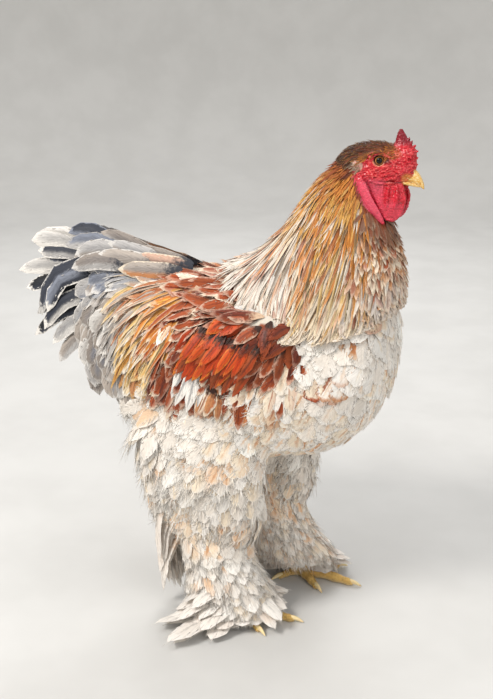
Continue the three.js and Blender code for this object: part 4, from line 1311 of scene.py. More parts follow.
def hackleTones(rng, tips, around):
    count = len(tips)
    ground = alongNeck(tips + rng.normal(0, 0.06, count), around)
    front = smooth(0.1, 0.75, np.cos(around))
    mid = smooth(0.2, 0.4, tips) * smooth(1.05, 0.8, tips)
    draw = rng.random(count)
    ground = blend(ground, "orange", (draw < 0.24 + 0.2 * front) * mid * 0.85)
    ground = blend(ground, "sienna", ((draw > 0.5) & (draw < 0.64)) * mid * 0.75)
    ground = blend(ground, "white", (draw > 0.88) * mid * 0.7)
    ground = blend(ground, "stripe", ((draw > 0.76) & (draw < 0.79)) * smooth(0.25, 0.5, tips) * 0.75)
    rim = blend(ground, "cream", smooth(0.15, 0.6, tips) * rng.uniform(0.0, 0.75, count))
    dark = smooth(0.15, 0.45, tips) * (rng.random(count) < 0.42) * rng.uniform(0.4, 0.9, count)
    streak = blend(ground * 0.75, "stripe", dark)
    far = blend(ground, "rust", rng.uniform(0, 0.35, count))
    return {"ground": uneven(rng, ground, 0.2), "far": far, "rim": rim, "streak": streak}


def makeHackles():
    rng = np.random.default_rng(51)
    i = np.arange(hackle["count"])
    root = -0.03 + 0.79 * ((i + 0.5) / len(i)) ** 0.96
    around = (i * goldenAngle + rng.normal(0, 0.05, len(i))) % math.tau
    front = np.degrees(np.minimum(around, math.tau - around))
    kept = (front > hackle["bareFront"] + rng.uniform(-12, 12, len(i))) | (root < 0.04)
    root, around = root[kept], around[kept]
    count = len(root)
    grown = smooth(0.0, 0.6, root)
    long = mix(*hackle["long"], grown) * rng.uniform(0.85, 1.15, count)
    reach = long / mix(neckLength["front"], neckLength["behind"], (1 - np.cos(around)) / 2)
    tip = np.minimum(root + reach, 0.975 - rng.uniform(0, 0.17, count))
    drift = rng.normal(0, 0.08, count) + 0.62 * np.sin(2 * around) * smooth(0.3, -0.3, np.cos(around)) * grown
    rise = rng.uniform(-0.025, 0.016, count)
    paths, normals = layOnForm(neckForm, root, tip, around, drift, hackle["depth"], rise)
    widths = mix(*hackle["wide"], grown) * rng.uniform(0.75, 1.2, count)
    free = clearOfLobe(paths)
    paths, normals, widths, tip, around = paths[free], normals[free], widths[free], tip[free], around[free]
    tones = hackleTones(rng, tip / 0.93, around)
    keep(plumage("neckHackles", paths, normals, widths, silky, tones, "z", 51), "hackle_feathers", "neck")


def throatTones(rng, tips):
    count = len(tips)
    ground = blend(sameFor("cream", count), "peach", rng.random(count))
    choice = rng.random(count)
    ground = blend(ground, "orange", (choice < 0.4) * rng.uniform(0.3, 0.85, count))
    ground = blend(ground, "sienna", (choice > 0.66) * rng.uniform(0.3, 0.95, count))
    dark = smooth(0.56, 0.4, tips + rng.normal(0, 0.06, count))
    ground = blend(ground, mix(colours["stripe"], colours["rust"], 0.35), dark * 0.85)
    pale = smooth(0.7, 0.92, tips + rng.normal(0, 0.07, count))
    ground = blend(ground, "white", pale * 0.8)
    rim = blend(ground, "cream", rng.uniform(0.2, 0.9, count) * (1 - 0.7 * dark))
    streak = blend(ground * 0.75, "rust", rng.uniform(0, 0.6, count) * (1 - pale))
    return {"ground": uneven(rng, ground, 0.14), "rim": rim, "streak": streak}


def makeThroat():
    rng = np.random.default_rng(52)
    count = throat["count"]
    i = np.arange(count)
    root = 0.02 + 0.87 * ((i + 0.5) / count) ** 0.9
    wide = math.radians(hackle["bareFront"] + 16)
    around = ((i * goldenShare) % 1 * 2 - 1) * wide
    grown = smooth(0.0, 0.7, root)
    reach = mix(*throat["long"], grown) / neckLength["front"] * rng.uniform(0.85, 1.2, count)
    tip = np.minimum(root + reach, 0.985 - rng.uniform(0, 0.26, count) * rng.random(count))
    rise = rng.uniform(-0.03, 0.006, count)
    drift = rng.normal(0, 0.1, count)
    paths, normals = layOnForm(neckForm, root, tip, around, drift, 0.86, rise)
    widths = mix(*throat["wide"], grown) * rng.uniform(0.8, 1.2, count)
    free = clearOfLobe(paths)
    paths, normals, widths, tip = paths[free], normals[free], widths[free], tip[free]
    look = dict(neat, columns=3, strands=5, reach=0.16)
    tones = throatTones(rng, tip)
    keep(plumage("throatFeathers", paths, normals, widths, look, tones, "z", 52), "hackle_feathers", "neck")


makeHackles()
makeThroat()

boot = {
    "count": 760,
    "rows": [
        # z, x, half length, half width
        (140, -57, 54, 42),
        (116, -55, 58, 45),
        (92, -49, 50, 41),
        (70, -42, 50, 43),
        (46, -34, 57, 50),
        (24, -28, 60, 54),
        (6, -24, 54, 50),
    ],
}


def bootForm(side):
    rings = []
    for z, x, long, half in boot["rows"]:
        shift = mix(thighShift(side), footShift(side), (140 - z) / 130)
        y = side * mix(stance["hockY"], stance["y"], (140 - z) / 130)
        rings.append(((x + shift, y, z), (long, 0, 0), (0, half, 0)))
    return Form(rings)


def makeBoot(side):
    rng = np.random.default_rng(54 + side)
    count = boot["count"]
    i = np.arange(count)
    root = -0.05 + 0.8 * ((i + 0.5) / count) ** 0.9
    around = (i * goldenAngle) % math.tau
    # the far boot is open over the toes, in front and on its inner side
    outward = np.sin(around) * side
    if side > 0:
        bare = smooth(-0.2, 0.6, np.cos(around + 1.05)) * 0.25
    else:
        bare = smooth(0.5, 0.95, np.cos(around - 0.3)) * 0.1
    long = rng.uniform(0.26, 0.42, count)
    tip = np.minimum(root + long, 1 - bare - rng.uniform(0, 0.07, count))
    kept = tip - root > 0.14
    root, around, tip, outward = root[kept], around[kept], tip[kept], outward[kept]
    count = len(root)
    drift = rng.normal(0, 0.22, count)
    rise = rng.uniform(-0.06, 0.12, count) * (1 - 0.6 * (outward < -0.4))
    paths, normals = layOnForm(bootForm(side), root, tip, around, drift, 0.66, rise)
    widths = rng.uniform(22, 30, count)
    tones = picked(rng, zoneOf(paths[:, -2], "fluff" if side < 0 else "peachFluff", rng))
    look = dict(soft, reach=0.3)
    thing = plumage(f"bootFeathers{sideTitles[side]}", paths, normals, widths, look, tones, "z", 54 + side)
    keep(thing, "leg_feathers", f"shank_{sideNames[side]}")


for side in sides:
    makeBoot(side)


# Feathers with a place of their own: wings' quills, tail, hocks and feet
def swept(root, bend, tip, steps=8):
    root, bend, tip = (np.array(place, float) for place in (root, bend, tip))
    t = np.linspace(0, 1, steps)[:, None]
    return root * (1 - t) ** 2 + bend * 2 * t * (1 - t) + tip * t**2


def setOut(name, feathers, look, axis, seed, slot, nodes):
    # each feather: path, normals, width, ground, far ground, rim, streak
    paths = np.array([f[0] for f in feathers])
    normals = np.array([np.broadcast_to(unit(np.array(f[1], float)), paths.shape[1:]) for f in feathers])
    tones = {key: np.array([f[3 + k] for f in feathers]) for k, key in enumerate(toneKeys)}
    widths = np.array([f[2] for f in feathers])
    keep(plumage(name, paths, normals, widths, look, tones, axis, seed), slot, *nodes)


def besideBody(x, z, side):
    hit = bodyTree.ray_cast(Vector((x, side * 320, z)), Vector((0, -side, 0)))
    return abs(hit[0][1]) if hit[0] is not None else 0


quills = [
    # roots from (x, z) to (x, z), headings below the way to the tail, length, width, height, count, palette
    ((-94, 388), (-70, 376), (66, 74), 82, 19, 8, 6, "mahogany"),
    ((-64, 380), (-44, 368), (74, 82), 66, 16, 13, 4, "white"),
    ((-38, 352), (-20, 346), (76, 84), 46, 16, 13, 4, "spotted"),
    ((-56, 402), (24, 388), (62, 72), 50, 12, 12, 15, "ember"),
    ((-50, 424), (34, 408), (56, 68), 50, 12, 15, 18, "ember"),
]


def makeQuills(side):
    rng = np.random.default_rng(60 + side)
    feathers = []
    for start, end, headings, long, wide, high, count, palette in quills:
        for i in range(count):
            k = i / (count - 1)
            x, z = mix(start[0], end[0], k), mix(start[1], end[1], k)
            heading = math.radians(mix(*headings, k) + rng.uniform(-6, 6))
            length = long * rng.uniform(0.85, 1.1)
            path, y = [], None
            for t in np.linspace(0, 1, 8):
                px = x - math.cos(heading) * length * t - 4 * t * t
                pz = z - math.sin(heading) * length * t
                found = besideBody(px, pz, side)
                y = found if y is None else max(found, y - 6)
                path.append((px, side * (y + high * (0.3 + 0.7 * t) + 1.2 * (i % 3)), pz))
            tones = pickedOne(rng, "breast" if palette == "white" else palette)
            if palette == "white":
                tones = [colours[name] for name in ("white", "white", "white", "ash")]
            if palette == "mahogany" and i % 3 == 1:
                tones[1] = colours["white"]
            feathers.append((path, (0.1, side, 0.3), wide * rng.uniform(0.85, 1.15), *tones))
    look = dict(neat, strands=5, thick=0.7, cup=0.25, roll=0.22, curl=(-1, 4))
    nodes = (f"wing_{sideNames[side]}",)
    setOut(f"wingQuills{sideTitles[side]}", feathers, look, "x", 60 + side, "wing_feathers", nodes)


for side in sides:
    makeQuills(side)

# Tail: curved feathers one by one, stiff ones inside, broad coverts at their roots
tailPlumes = [
    # root (x, off the middle, z), bend, tip, width, ground, far half, rim
    ((-238, 5, 470), (-304, 7, 503), (-356, 9, 484), 35, "pearl", "white", "white"),
    ((-236, 6, 464), (-300, 9, 486), (-344, 12, 470), 30, "slate", "ash", "white"),
    ((-206, 5, 476), (-256, 10, 524), (-292, 13, 500), 22, "slate", "blueGrey", "blueGrey"),
    ((-196, 12, 474), (-244, 22, 514), (-290, 26, 486), 28, "blueGrey", "ash", "ash"),
    ((-184, 20, 472), (-232, 32, 504), (-272, 34, 476), 28, "ash", "greige", "pearl"),
    ((-180, 30, 466), (-232, 44, 490), (-272, 42, 458), 27, "greige", "ash", "pearl"),
    ((-150, 4, 472), (-200, 8, 496), (-244, 10, 506), 22, "greige", "ash", "dove"),
    ((-134, 12, 470), (-182, 22, 488), (-226, 24, 494), 24, "ash", "greige", "pearl"),
    ((-136, 22, 466), (-188, 34, 482), (-236, 36, 480), 26, "dove", "greige", "pearl"),
    ((-108, 6, 470), (-150, 12, 484), (-194, 14, 488), 21, "greige", "tan", "dove"),
    ((-104, 16, 468), (-146, 24, 478), (-190, 28, 476), 23, "blush", "tan", "cream"),
    ((-112, 28, 464), (-156, 40, 470), (-202, 42, 464), 24, "dove", "tan", "cream"),
    ((-240, 7, 452), (-322, 10, 462), (-378, 12, 440), 25, "pearl", "white", "white"),
    ((-240, 10, 440), (-318, 14, 442), (-364, 16, 416), 25, "soot", "slate", "white"),
    ((-226, 18, 462), (-322, 33, 482), (-328, 36, 384), 27, "slate", "blueGrey", "pearl"),
    ((-230, 24, 448), (-308, 38, 466), (-314, 42, 392), 26, "blueGrey", "slate", "white"),
    ((-234, 16, 430), (-310, 28, 436), (-338, 32, 384), 25, "soot", "slate", "pearl"),
    ((-236, 26, 424), (-298, 38, 430), (-322, 40, 366), 24, "slate", "pearl", "white"),
    ((-240, 20, 404), (-300, 30, 410), (-344, 32, 352), 23, "soot", "slate", "white"),
    ((-242, 28, 392), (-288, 38, 392), (-310, 40, 346), 24, "ash", "pearl", "white"),
    ((-240, 28, 374), (-280, 40, 370), (-300, 42, 322), 24, "dove", "ash", "pearl"),
]
tailFill = {"inner": 9, "covertTiers": 3, "covertsInTier": 13}


def makeTail():
    rng = np.random.default_rng(71)
    feathers, coverts = [], []
    for side in sides:
        for root, bend, tip, wide, *names in tailPlumes:
            root, bend, tip = (np.array((x, side * y, z), float) for x, y, z in (root, bend, tip))
            loose = rng.uniform(-1, 1, 3) * (3, 2, 3) * (0 if side < 0 else 1)
            ground, far, rim = (colours[n] * rng.uniform(0.9, 1.06) for n in names)
            streak = mix(ground, colours["slate"], 0.35)
            path = swept(root, bend + loose, tip + loose)
            feathers.append((path, (0.08, side, 0.5), wide, ground, far, np.minimum(rim, 0.96), streak))
        for i in range(tailFill["inner"]):
            k = i / (tailFill["inner"] - 1)
            root = (-232, side * mix(3, 14, k), mix(458, 384, k))
            tip = (mix(-338, -300, k), side * mix(5, 24, k), mix(474, 350, k))
            bend = (-290, side * mix(5, 22, k), mix(484, 384, k))
            near, far = (colours[name] for name in (("slate", "blueGrey") if i % 2 else ("soot", "ash")))
            feathers.append((swept(root, bend, tip), (0.1, side, 0.4), 26, near, far, colours["pearl"], near))
        for tier in range(tailFill["covertTiers"]):
            for i in range(tailFill["covertsInTier"]):
                k = i / (tailFill["covertsInTier"] - 1)
                angle = math.radians(mix(2, -84, k**0.6) + rng.uniform(-8, 8))
                reach = mix(70, 58, tier / 2) * rng.uniform(0.85, 1.12)
                y = 8 + 36 * math.sin(k * 2.1) + 8 * tier
                root = np.array([mix(-222, -190, tier / 2) + rng.uniform(-4, 4), side * y, mix(462, 352, k)])
                tip = root + (-math.cos(angle) * reach, side * 8, math.sin(angle) * reach)
                bend = (root + tip) / 2 + (-12, side * 14, 8)
                palette = "greyTop" if k < 0.3 + rng.uniform(-0.1, 0.1) else "dove"
                picks = pickedOne(rng, palette, 0.12)
                coverts.append((swept(root, bend, tip), (0.15, side, 0.4), rng.uniform(24, 31), *picks))
    look = {"shape": "blade", "strands": 8, "reach": 0.07, "ragged": 0.14, "thick": 0.7}
    setOut("tailFeathers", feathers, look, "x", 71, "tail_feathers", ("tail",))
    setOut("tailCoverts", coverts, dict(soft, strands=8, reach=0.1), "x", 72, "tail_feathers", ("tail",))


def makeFootVanes(side):
    rng = np.random.default_rng(80 + side)
    feathers = []
    x, y = stance["footX"] + footShift(side), side * stance["y"]
    tan = mix(colours["peach"], colours["tan"], 0.1 if side < 0 else 0.3)

    def add(root, bend, tip, up, wide, share):
        ground = mix(colours["white"], tan, share * rng.uniform(0, 1))
        rim = mix(ground, colours["white"], rng.uniform(0.3, 1))
        feathers.append((swept(root, bend, tip), up, wide, ground, ground * 0.96, rim, ground * 0.75))

    for layer, count in enumerate([19, 18, 17, 16]):
        for i in range(count):
            heading = mix(-30 if side < 0 else 4, 205, i / (count - 1)) + rng.uniform(-8, 8)
            # the longest ones point outwards and a little back
            long = (52 + 66 * math.exp(-(((heading - 116) / 30) ** 2))) * rng.uniform(0.8, 1.06)
            long *= (1, 0.84, 0.68, 0.54)[layer]
            turn = math.radians(heading)
            way = np.array([math.cos(turn), side * math.sin(turn), 0])
            root = np.array([x, y, 15 + 11 * layer]) + way * 12
            tip = root + way * long + np.array([-0.1 * long, 0, 0])
            tip[2] = 3 + 8 * layer + rng.uniform(0, 12)
            bend = (root + tip) / 2 + np.array([4, 0, 9 + 5 * layer])
            add(root, bend, tip, (0, 0, 1), mix(32, 26, layer / 3), 0.2)
    # soft ones lie over the near foot's toes
    for i in range(26 if side < 0 else 6):
        heading = math.radians(rng.uniform(-56, 30) if side < 0 else rng.uniform(20, 44))
        way = np.array([math.cos(heading), side * math.sin(heading), 0])
        long = rng.uniform(44, 76)
        root = np.array([x, y, rng.uniform(20, 44)]) + way * 8
        tip = root + way * long
        tip[2] = rng.uniform(8, 22)
        add(root, (root + tip) / 2 + np.array([0, 0, 12]), tip, (0, 0, 1), 24, 0.4)
    # hock feathers, stiff, down the back of the leg
    shift = thighShift(side)
    for i in range(60):
        y = side * (70 + rng.uniform(-26, 32))
        root = np.array([-92 - rng.uniform(0, 26) + shift, y, rng.uniform(104, 178)])
        tip = np.array([-110 - rng.uniform(-6, 14) + shift, y + side * rng.uniform(-3, 9), 0])
        tip[2] = max(20, root[2] - rng.uniform(60, 100))
        add(root, (root + tip) / 2 + np.array([-18, 0, 4]), tip, (-0.8, side * 0.9, 0.5), 22, 0.45)
    word = sideNames[side]
    look = {
        "shape": "broad", "strands": 16, "reach": 0.16, "ragged": 0.14, "thin": 0.045, "spread": 0.85,
        "cup": 0.12, "roll": 0.12,
    }
    nodes = (f"shank_{word}", f"foot_{word}", f"thigh_{word}")
    setOut(f"footVanes{sideTitles[side]}", feathers, look, "z", 80 + side, "leg_feathers", nodes)


makeTail()
for side in sides:
    makeFootVanes(side)


# Head, and the short feathers of crown, nape, ear and throat
flesh = makeHead()
stage("head")
fleshTree = treeOf(flesh)
# places along the head, and the height above which feathers cover it there
crownEdge = ([100, 118, 122, 130, 139, 149, 160, 165], [604, 615, 622, 628, 632, 634, 637.5, 643])
earMiddle = {"x": 118.5, "z": 616.5}


def onHead(p, n):
    x, y, z = p[:, 0], np.abs(p[:, 1]), p[:, 2]
    crown = (z > np.interp(x, *crownEdge)) & (x < 156) & (z < 652)
    nape = x < np.interp(z, [590, 600, 609, 622], [112, 114, 117, 121])
    throat = (z < 593) & (x < 150) & (y < 15) & (z > 578)
    ear = np.hypot(x - earMiddle["x"], z - earMiddle["z"]) < 6.5
    forehead = (x > 148) & (x < 163) & (z > 627) & (z < 640) & (y > 4)
    sparse = np.random.default_rng(7).random(len(p)) < 0.5
    lobe = (z < 606) & (x > 113) & (y > 15) & ~throat
    return (crown | nape | throat | ear | (forehead & sparse)) & ~lobe & (z > 576)


def headTones(rng, roots):
    x, z = roots[:, 0], roots[:, 2]
    count = len(roots)
    above = z - np.interp(x, *crownEdge)
    ground = blend(sameFor("darkBrown", count), "rust", rng.uniform(0.1, 0.8, count))
    ground = blend(ground, colours["darkBrown"] * 0.7, smooth(3, 8, above) * rng.uniform(0.5, 1.0, count))
    ground = blend(ground, "orange", smooth(6, 0, above) * rng.uniform(0.2, 0.85, count))
    ground = blend(ground, "orange", smooth(624, 600, z) * rng.uniform(0.1, 0.8, count))
    ear = smooth(10, 5, np.hypot(x - earMiddle["x"], z - earMiddle["z"]))
    ground = blend(ground, "earPatch", ear * rng.uniform(0.75, 1, count))
    rim = blend(ground, "gold", rng.uniform(0, 0.5, count))
    return {"ground": uneven(rng, ground, 0.18), "rim": rim, "streak": ground * 0.55}


def makeHeadFeathers():
    rng = np.random.default_rng(91)
    roots, _ = sow(facesOf(flesh), onHead, 2.2, 91)
    count = len(roots)
    lie = lambda p, n: np.stack([-np.ones(len(p)), 0 * p[:, 0], -0.25 - 0.5 * np.abs(n[:, 1])], axis=1)
    back = smooth(150, 95, roots[:, 0])
    small = (roots[:, 0] > 146) | (np.hypot(roots[:, 0] - earMiddle["x"], roots[:, 2] - earMiddle["z"]) < 7)
    long = np.where(small, 6.5, mix(9, 22, back)) * rng.uniform(0.8, 1.2, count)
    wide = np.where(small, 1.7, mix(2.0, 3.6, back))
    lift, turn = rng.uniform(0.8, 2.8, count), rng.normal(0, 0.2, count)
    paths, normals = layOver(fleshTree, roots, lie, long, lift, 5, turn)
    look = {"shape": "lance", "columns": 3, "strands": 4, "reach": 0.2, "thick": 0.25, "curl": (-0.3, 0.8)}
    thing = plumage("headFeathers", paths, normals, wide, look, headTones(rng, roots), "x", 91)
    keep(thing, "hackle_feathers", "head")


makeHeadFeathers()
feet = [makeFoot(side) for side in sides]
for thing in [flesh] + feet:
    applied(body, "BOOLEAN", operation="UNION", solver="EXACT", object=thing)
    bpy.data.objects.remove(thing)
skin = body
skin.name = "skin"
creaseHead(skin)
smoothFaces(skin)
stage(f"one skin of {len(skin.data.polygons)} faces")


# Skin colours: bare head, scaly toes, and the plumage's own markings elsewhere, a little darker as painted
# shade between the feathers
def paintSkin():
    p = placesOf(skin)
    n = normalsOf(skin)
    x, y, z = p[:, 0], np.abs(p[:, 1]), p[:, 2]
    tones = markings(p)
    bare = (z > 540) & (x > 108) & ((x > 120) | (z < 622))
    bare |= (z > 575) & (x > 86)
    flesh = np.zeros(len(p))
    flesh[bare] = 1
    red = sameFor("fleshRed", len(p))
    lobed = smooth(16.5, 20.5, y) * smooth(606, 596, z) * smooth(155, 148, x)
    # painted shade: darker red in the hollow below the cheek, between lobe and wattle
    hollowShade = zoneWeight(p, 140, 594, 11, 11) * smooth(23, 20.5, y)
    red = blend(red, "fleshShade", hollowShade * 0.65)
    red = blend(red, "fleshPink", lobed * 0.75)
    # painted highlight: paler pink over the lower part of the wattle
    red = blend(red, "fleshPink", zoneWeight(p, 162, 562, 16, 14) * 0.35)
    # painted shade along the line of the mouth
    mouthShade = smooth(1.6, 0.4, np.abs(z - 598.6 + 0.05 * (x - 160))) * smooth(146, 152, x) * smooth(176, 170, x)
    red = blend(red, "fleshShade", mouthShade * 0.75)
    red = blend(red, "combTop", smooth(638, 646, z) * smooth(150, 158, x) * 0.9)
    forehead = zoneWeight(p, 156, 632, 13, 8) * smooth(3.5, 7, y)
    red = blend(red, "forehead", forehead * 0.9)
    e = eyePlace
    lid = np.hypot((x - e["x"]) / 1.08, z - e["z"])
    under = smooth(1, -2, z - e["z"]) * (z > 600)
    red = blend(red, "lidPale", smooth(7.6, 6.6, lid) * under * 0.75)
    # painted shade round the eye: dark at the lid's edge, a shadow under the brow above it, and a dark front
    # corner
    rim = smooth(6.3, 5.6, lid) * (z > 600)
    browShadow = smooth(2.5, 4.5, z - e["z"]) * smooth(8.4, 6.4, lid) * (z > 600)
    cornerShade = smooth(4.5, 1.5, np.hypot((x - 152.6) / 1.4, z - 623.4))
    red = blend(red, colours["darkBrown"] * 0.5, np.maximum(np.maximum(rim, browShadow * 0.85), cornerShade * 0.8))
    # painted shade and highlight on the bare skin: darker in the creases, lighter and paler pink along their
    # crests, less on the lobes and the comb's top
    crease, pebble = creases(p[bare])
    shade = np.ones(len(p))
    crest = np.maximum(crease, 0.5 * pebble)
    plain = (1 - 0.35 * lobed[bare]) * (1 - 0.5 * smooth(638, 646, z[bare]))
    shade[bare] = 1 - plain * (1 - np.clip(0.62 + 0.5 * crest, 0.5, 1.12))
    lit = smooth(0.72, 1.0, crease) * plain * smooth(592, 598, z[bare]) * smooth(642, 634, z[bare])
    red[bare] = blend(red[bare], "lidPale", lit * 0.4)
    red[bare] = blend(red[bare], "fleshPink", smooth(0.6, 1.0, crest) * smooth(644, 636, z[bare]) * 0.3)
    red = np.clip(red * shade[:, None], 0, 0.95)
    crown = (z > np.interp(x, *crownEdge)) & (x < 158)
    covered = np.maximum(crown * (y < 24), smooth(118, 108, x)) * (z > 600)
    red = blend(red, mix(colours["rust"], colours["darkBrown"], 0.7), covered)
    ear = smooth(8, 6, np.hypot(x - earMiddle["x"], z - earMiddle["z"]))
    red = blend(red, "earPatch", ear * 0.8)
    red = blend(red, "hornGold", smooth(9, 4, np.hypot(x - 177, z - 602)) * 0.55)
    tones = blend(tones, red, flesh)
    scaly = smooth(44, 34, z)
    toe = blend(sameFor("toeYellow", len(p)), colours["toePale"], smooth(0.2, -0.7, n[:, 2]))
    tones = blend(tones, toe, scaly)
    paint(skin, "tone", tones)
    weigh(skin, "bare", flesh * (1 - covered))
    weigh(skin, "scaly", scaly)


paintSkin()
stage("skin coloured")


# Eyes, beak, claws and spurs
def makeEye(side):
    e = eyePlace
    bpy.ops.mesh.primitive_uv_sphere_add(segments=40, ring_count=28, radius=1)
    eye = bpy.context.object
    eye.name = f"eye{sideTitles[side]}"
    co = perVertex(eye, "co")
    out = unit(np.array([0.2, side, 0.02]))
    toward = np.degrees(np.arccos(np.clip(co @ out, -1, 1)))
    bulge = 1 + 0.035 * smooth(50, 24, toward)
    setPlaces(eye, co * e["radius"] * bulge[:, None] + np.array([e["x"], side * (e["y"] + 0.9), e["z"]]))
    weigh(eye, "gaze", toward / 90)
    smoothFaces(eye)
    return eye


def makeBeak():
    upper = [
        # x, bottom, top, half width
        (164, 599.6, 619, 9.8),
        (170, 599, 618.4, 9.3),
        (176, 598.2, 617, 8.4),
        (182, 596.8, 614.4, 7),
        (187, 594.8, 610.4, 5.4),
        (191, 592.6, 605.2, 3.8),
        (194, 590.6, 599.6, 2.5),
        (195.8, 589.6, 594.6, 1.1),
    ]
    lower = [
        (163, 594.6, 600.4, 8.9),
        (170, 594, 600, 8.4),
        (176, 593.4, 599.4, 7.3),
        (182, 592.6, 598, 5.6),
        (187, 592, 596, 3.6),
        (190.6, 591.8, 594, 1.4),
    ]
    top = Form(ovalRings(upper), 1.12).body("beakUpper", 40, 36)
    # nostril slit and its cover, one on each side
    places = placesOf(top)
    x = places[:, 0] - 176.5
    away = np.hypot(x / 4.2, (places[:, 2] - 610.4 + 0.35 * x) / 1.5)
    places[:, 1] *= 1 - 0.2 * smooth(1.3, 0.5, away)
    setPlaces(top, places)
    smoothFaces(top)
    low = Form(ovalRings(lower), 1.08).body("beakLower", 32, 24)
    smoothFaces(low)
    return top, low


def makeClaws(side):
    claws = []
    for toe in toes:
        start, d = toeLine(side, toe)
        across = np.array([-d[1], d[0], 0])
        rings = []
        for along, z, r in [(-6, 5.6, 3.5), (-1, 5.9, 3.4), (4, 5.2, 2.8), (8.5, 3.8, 2.0), (12.8, 2.0, 0.8)]:
            centre = start + d * (toes[toe][1] + along)
            centre[2] = z
            rings.append((centre, across * r * 0.85, (0, 0, r)))
        claws.append(Form(rings).body("claw", 20, 16))
    thing = joined(claws, f"claws{sideTitles[side]}")
    smoothFaces(thing)
    return thing


def makeSpur(side):
    fromX = mix(stance["hockX"] + thighShift(side), stance["footX"] + footShift(side), 0.72)
    rings = []
    for k, r in ((0, 5), (8, 4.4), (14, 4.1), (20, 3.2), (26, 1.3)):
        centre = (fromX - 12 - 0.75 * k, side * (57 - 0.5 * k), 48 - 0.08 * k + 0.006 * k * k)
        rings.append((centre, (0, r, 0), (0, 0, r)))
    spur = Form(rings).body(f"spur{sideTitles[side]}", 20, 16)
    smoothFaces(spur)
    return spur


eyes = {side: makeEye(side) for side in sides}
beakUpper, beakLower = makeBeak()
claws = {side: makeClaws(side) for side in sides}
spurs = {side: makeSpur(side) for side in sides}
stage("eyes, beak, claws and spurs")


# Materials
def node(tree, kind, inputs=None, **settings):
    made = tree.nodes.new("ShaderNode" + kind)
    for key, value in settings.items():
        setattr(made, key, value)
    for key, value in (inputs or {}).items():
        if isinstance(value, bpy.types.NodeSocket):
            tree.links.new(value, made.inputs[key])
        else:
            made.inputs[key].default_value = value
    return made


def maths(tree, operation, *values):
    return node(tree, "Math", dict(enumerate(values)), operation=operation).outputs[0]


def plus(tree, a, b):
    return maths(tree, "ADD", a, b)


def minus(tree, a, b):
    return maths(tree, "SUBTRACT", a, b)


def times(tree, a, b):
    return maths(tree, "MULTIPLY", a, b)


def mapped(tree, value, low, high, toLow=0.0, toHigh=1.0):
    inputs = {"Value": value, "From Min": low, "From Max": high, "To Min": toLow, "To Max": toHigh}
    return node(tree, "MapRange", inputs, interpolation_type="SMOOTHSTEP").outputs["Result"]


def blended(tree, factor, a, b, how="MIX"):
    made = node(tree, "Mix", {"Factor": factor}, data_type="RGBA", blend_type=how)
    for slot, value in ((6, a), (7, b)):
        if isinstance(value, bpy.types.NodeSocket):
            tree.links.new(value, made.inputs[slot])
        else:
            made.inputs[slot].default_value = (*value, 1)
    return made.outputs[2]


def grain(tree, where, scale, detail=3.0, rough=0.55):
    inputs = {"Vector": where, "Scale": scale, "Detail": detail, "Roughness": rough}
    return node(tree, "TexNoise", inputs).outputs["Fac"]


def objectPlace(tree):
    return node(tree, "TexCoord").outputs["Object"]


def attribute(tree, name, output="Color"):
    return node(tree, "Attribute", attribute_name=name).outputs[output]


def newMaterial(name, finish):
    material = bpy.data.materials.new(name)
    material.use_nodes = True
    tree = material.node_tree
    shader = tree.nodes["Principled BSDF"]
    for key, value in finish.items():
        shader.inputs[key].default_value = value
    return material, tree, shader


def bumped(tree, shader, height, distance, strength=1.0):
    made = node(tree, "Bump", {"Height": height, "Distance": distance, "Strength": strength})
    tree.links.new(made.outputs["Normal"], shader.inputs["Normal"])


def vaneGroup():
    group = bpy.data.node_groups.new("vanePattern", "ShaderNodeTree")
    face = group.interface
    for name in ("Ground", "Rim", "Streak", "Down"):
        face.new_socket(name, in_out="INPUT", socket_type="NodeSocketColor")
    face.new_socket("Vane", in_out="INPUT", socket_type="NodeSocketVector")
    for name, value in (("Rim start", 0.62), ("Streak width", 0.3), ("Barbs", 34.0), ("Depth", 0.12)):
        face.new_socket(name, in_out="INPUT", socket_type="NodeSocketFloat").default_value = value
    face.new_socket("Color", in_out="OUTPUT", socket_type="NodeSocketColor")
    face.new_socket("Height", in_out="OUTPUT", socket_type="NodeSocketFloat")
    take = group.nodes.new("NodeGroupInput").outputs
    parts = node(group, "SeparateXYZ", {"Vector": take["Vane"]}).outputs
    where = objectPlace(group)
    across = minus(group, times(group, parts["X"], 2.0), 1.0)
    across = maths(group, "ABSOLUTE", across)
    along = parts["Y"]
    fuzz = times(group, minus(group, grain(group, where, 260.0), 0.5), 0.5)
    # barbs run out from the shaft and forward to the tip
    run = minus(group, along, times(group, across, 0.5))
    run = times(group, run, take["Barbs"])
    barb = node(group, "CombineXYZ", {"X": run, "Y": times(group, across, 2.4)}).outputs[0]
    drift = node(group, "VectorMath", {0: where, "Scale": 30.0}, operation="SCALE").outputs[0]
    lines = grain(group, node(group, "VectorMath", {0: barb, 1: drift}, operation="ADD").outputs[0], 0.9, 2.0)
    shaft = mapped(group, across, 0.09, 0.03)
    shaft = times(group, shaft, mapped(group, along, 0.97, 0.8))
    tipWay = mapped(group, along, 0.62, 1.0)
    edge = plus(group, maths(group, "MAXIMUM", across, tipWay), fuzz)
    rim = mapped(group, edge, take["Rim start"], 0.96)
    streak = mapped(group, plus(group, across, fuzz), take["Streak width"], 0.06)
    streak = times(group, streak, mapped(group, along, 0.98, 0.7))
    # the root of each vane takes the down colour: the real down there, and painted shade in the gaps between
    # the feathers
    downAndGapShade = mapped(group, plus(group, along, fuzz), 0.42, 0.12)
    colour = blended(group, streak, take["Ground"], take["Streak"])
    colour = blended(group, rim, colour, take["Rim"])
    colour = blended(group, downAndGapShade, colour, take["Down"])
    shade = mapped(group, lines, 0.34, 0.66)
    dark = minus(group, 1.0, times(group, take["Depth"], shade))
    toned = node(group, "VectorMath", {0: colour, "Scale": dark}, operation="SCALE").outputs[0]
    height = plus(group, shade, times(group, shaft, 2.0))
    give = group.nodes.new("NodeGroupOutput").inputs
    group.links.new(toned, give["Color"])
    group.links.new(height, give["Height"])
    return group


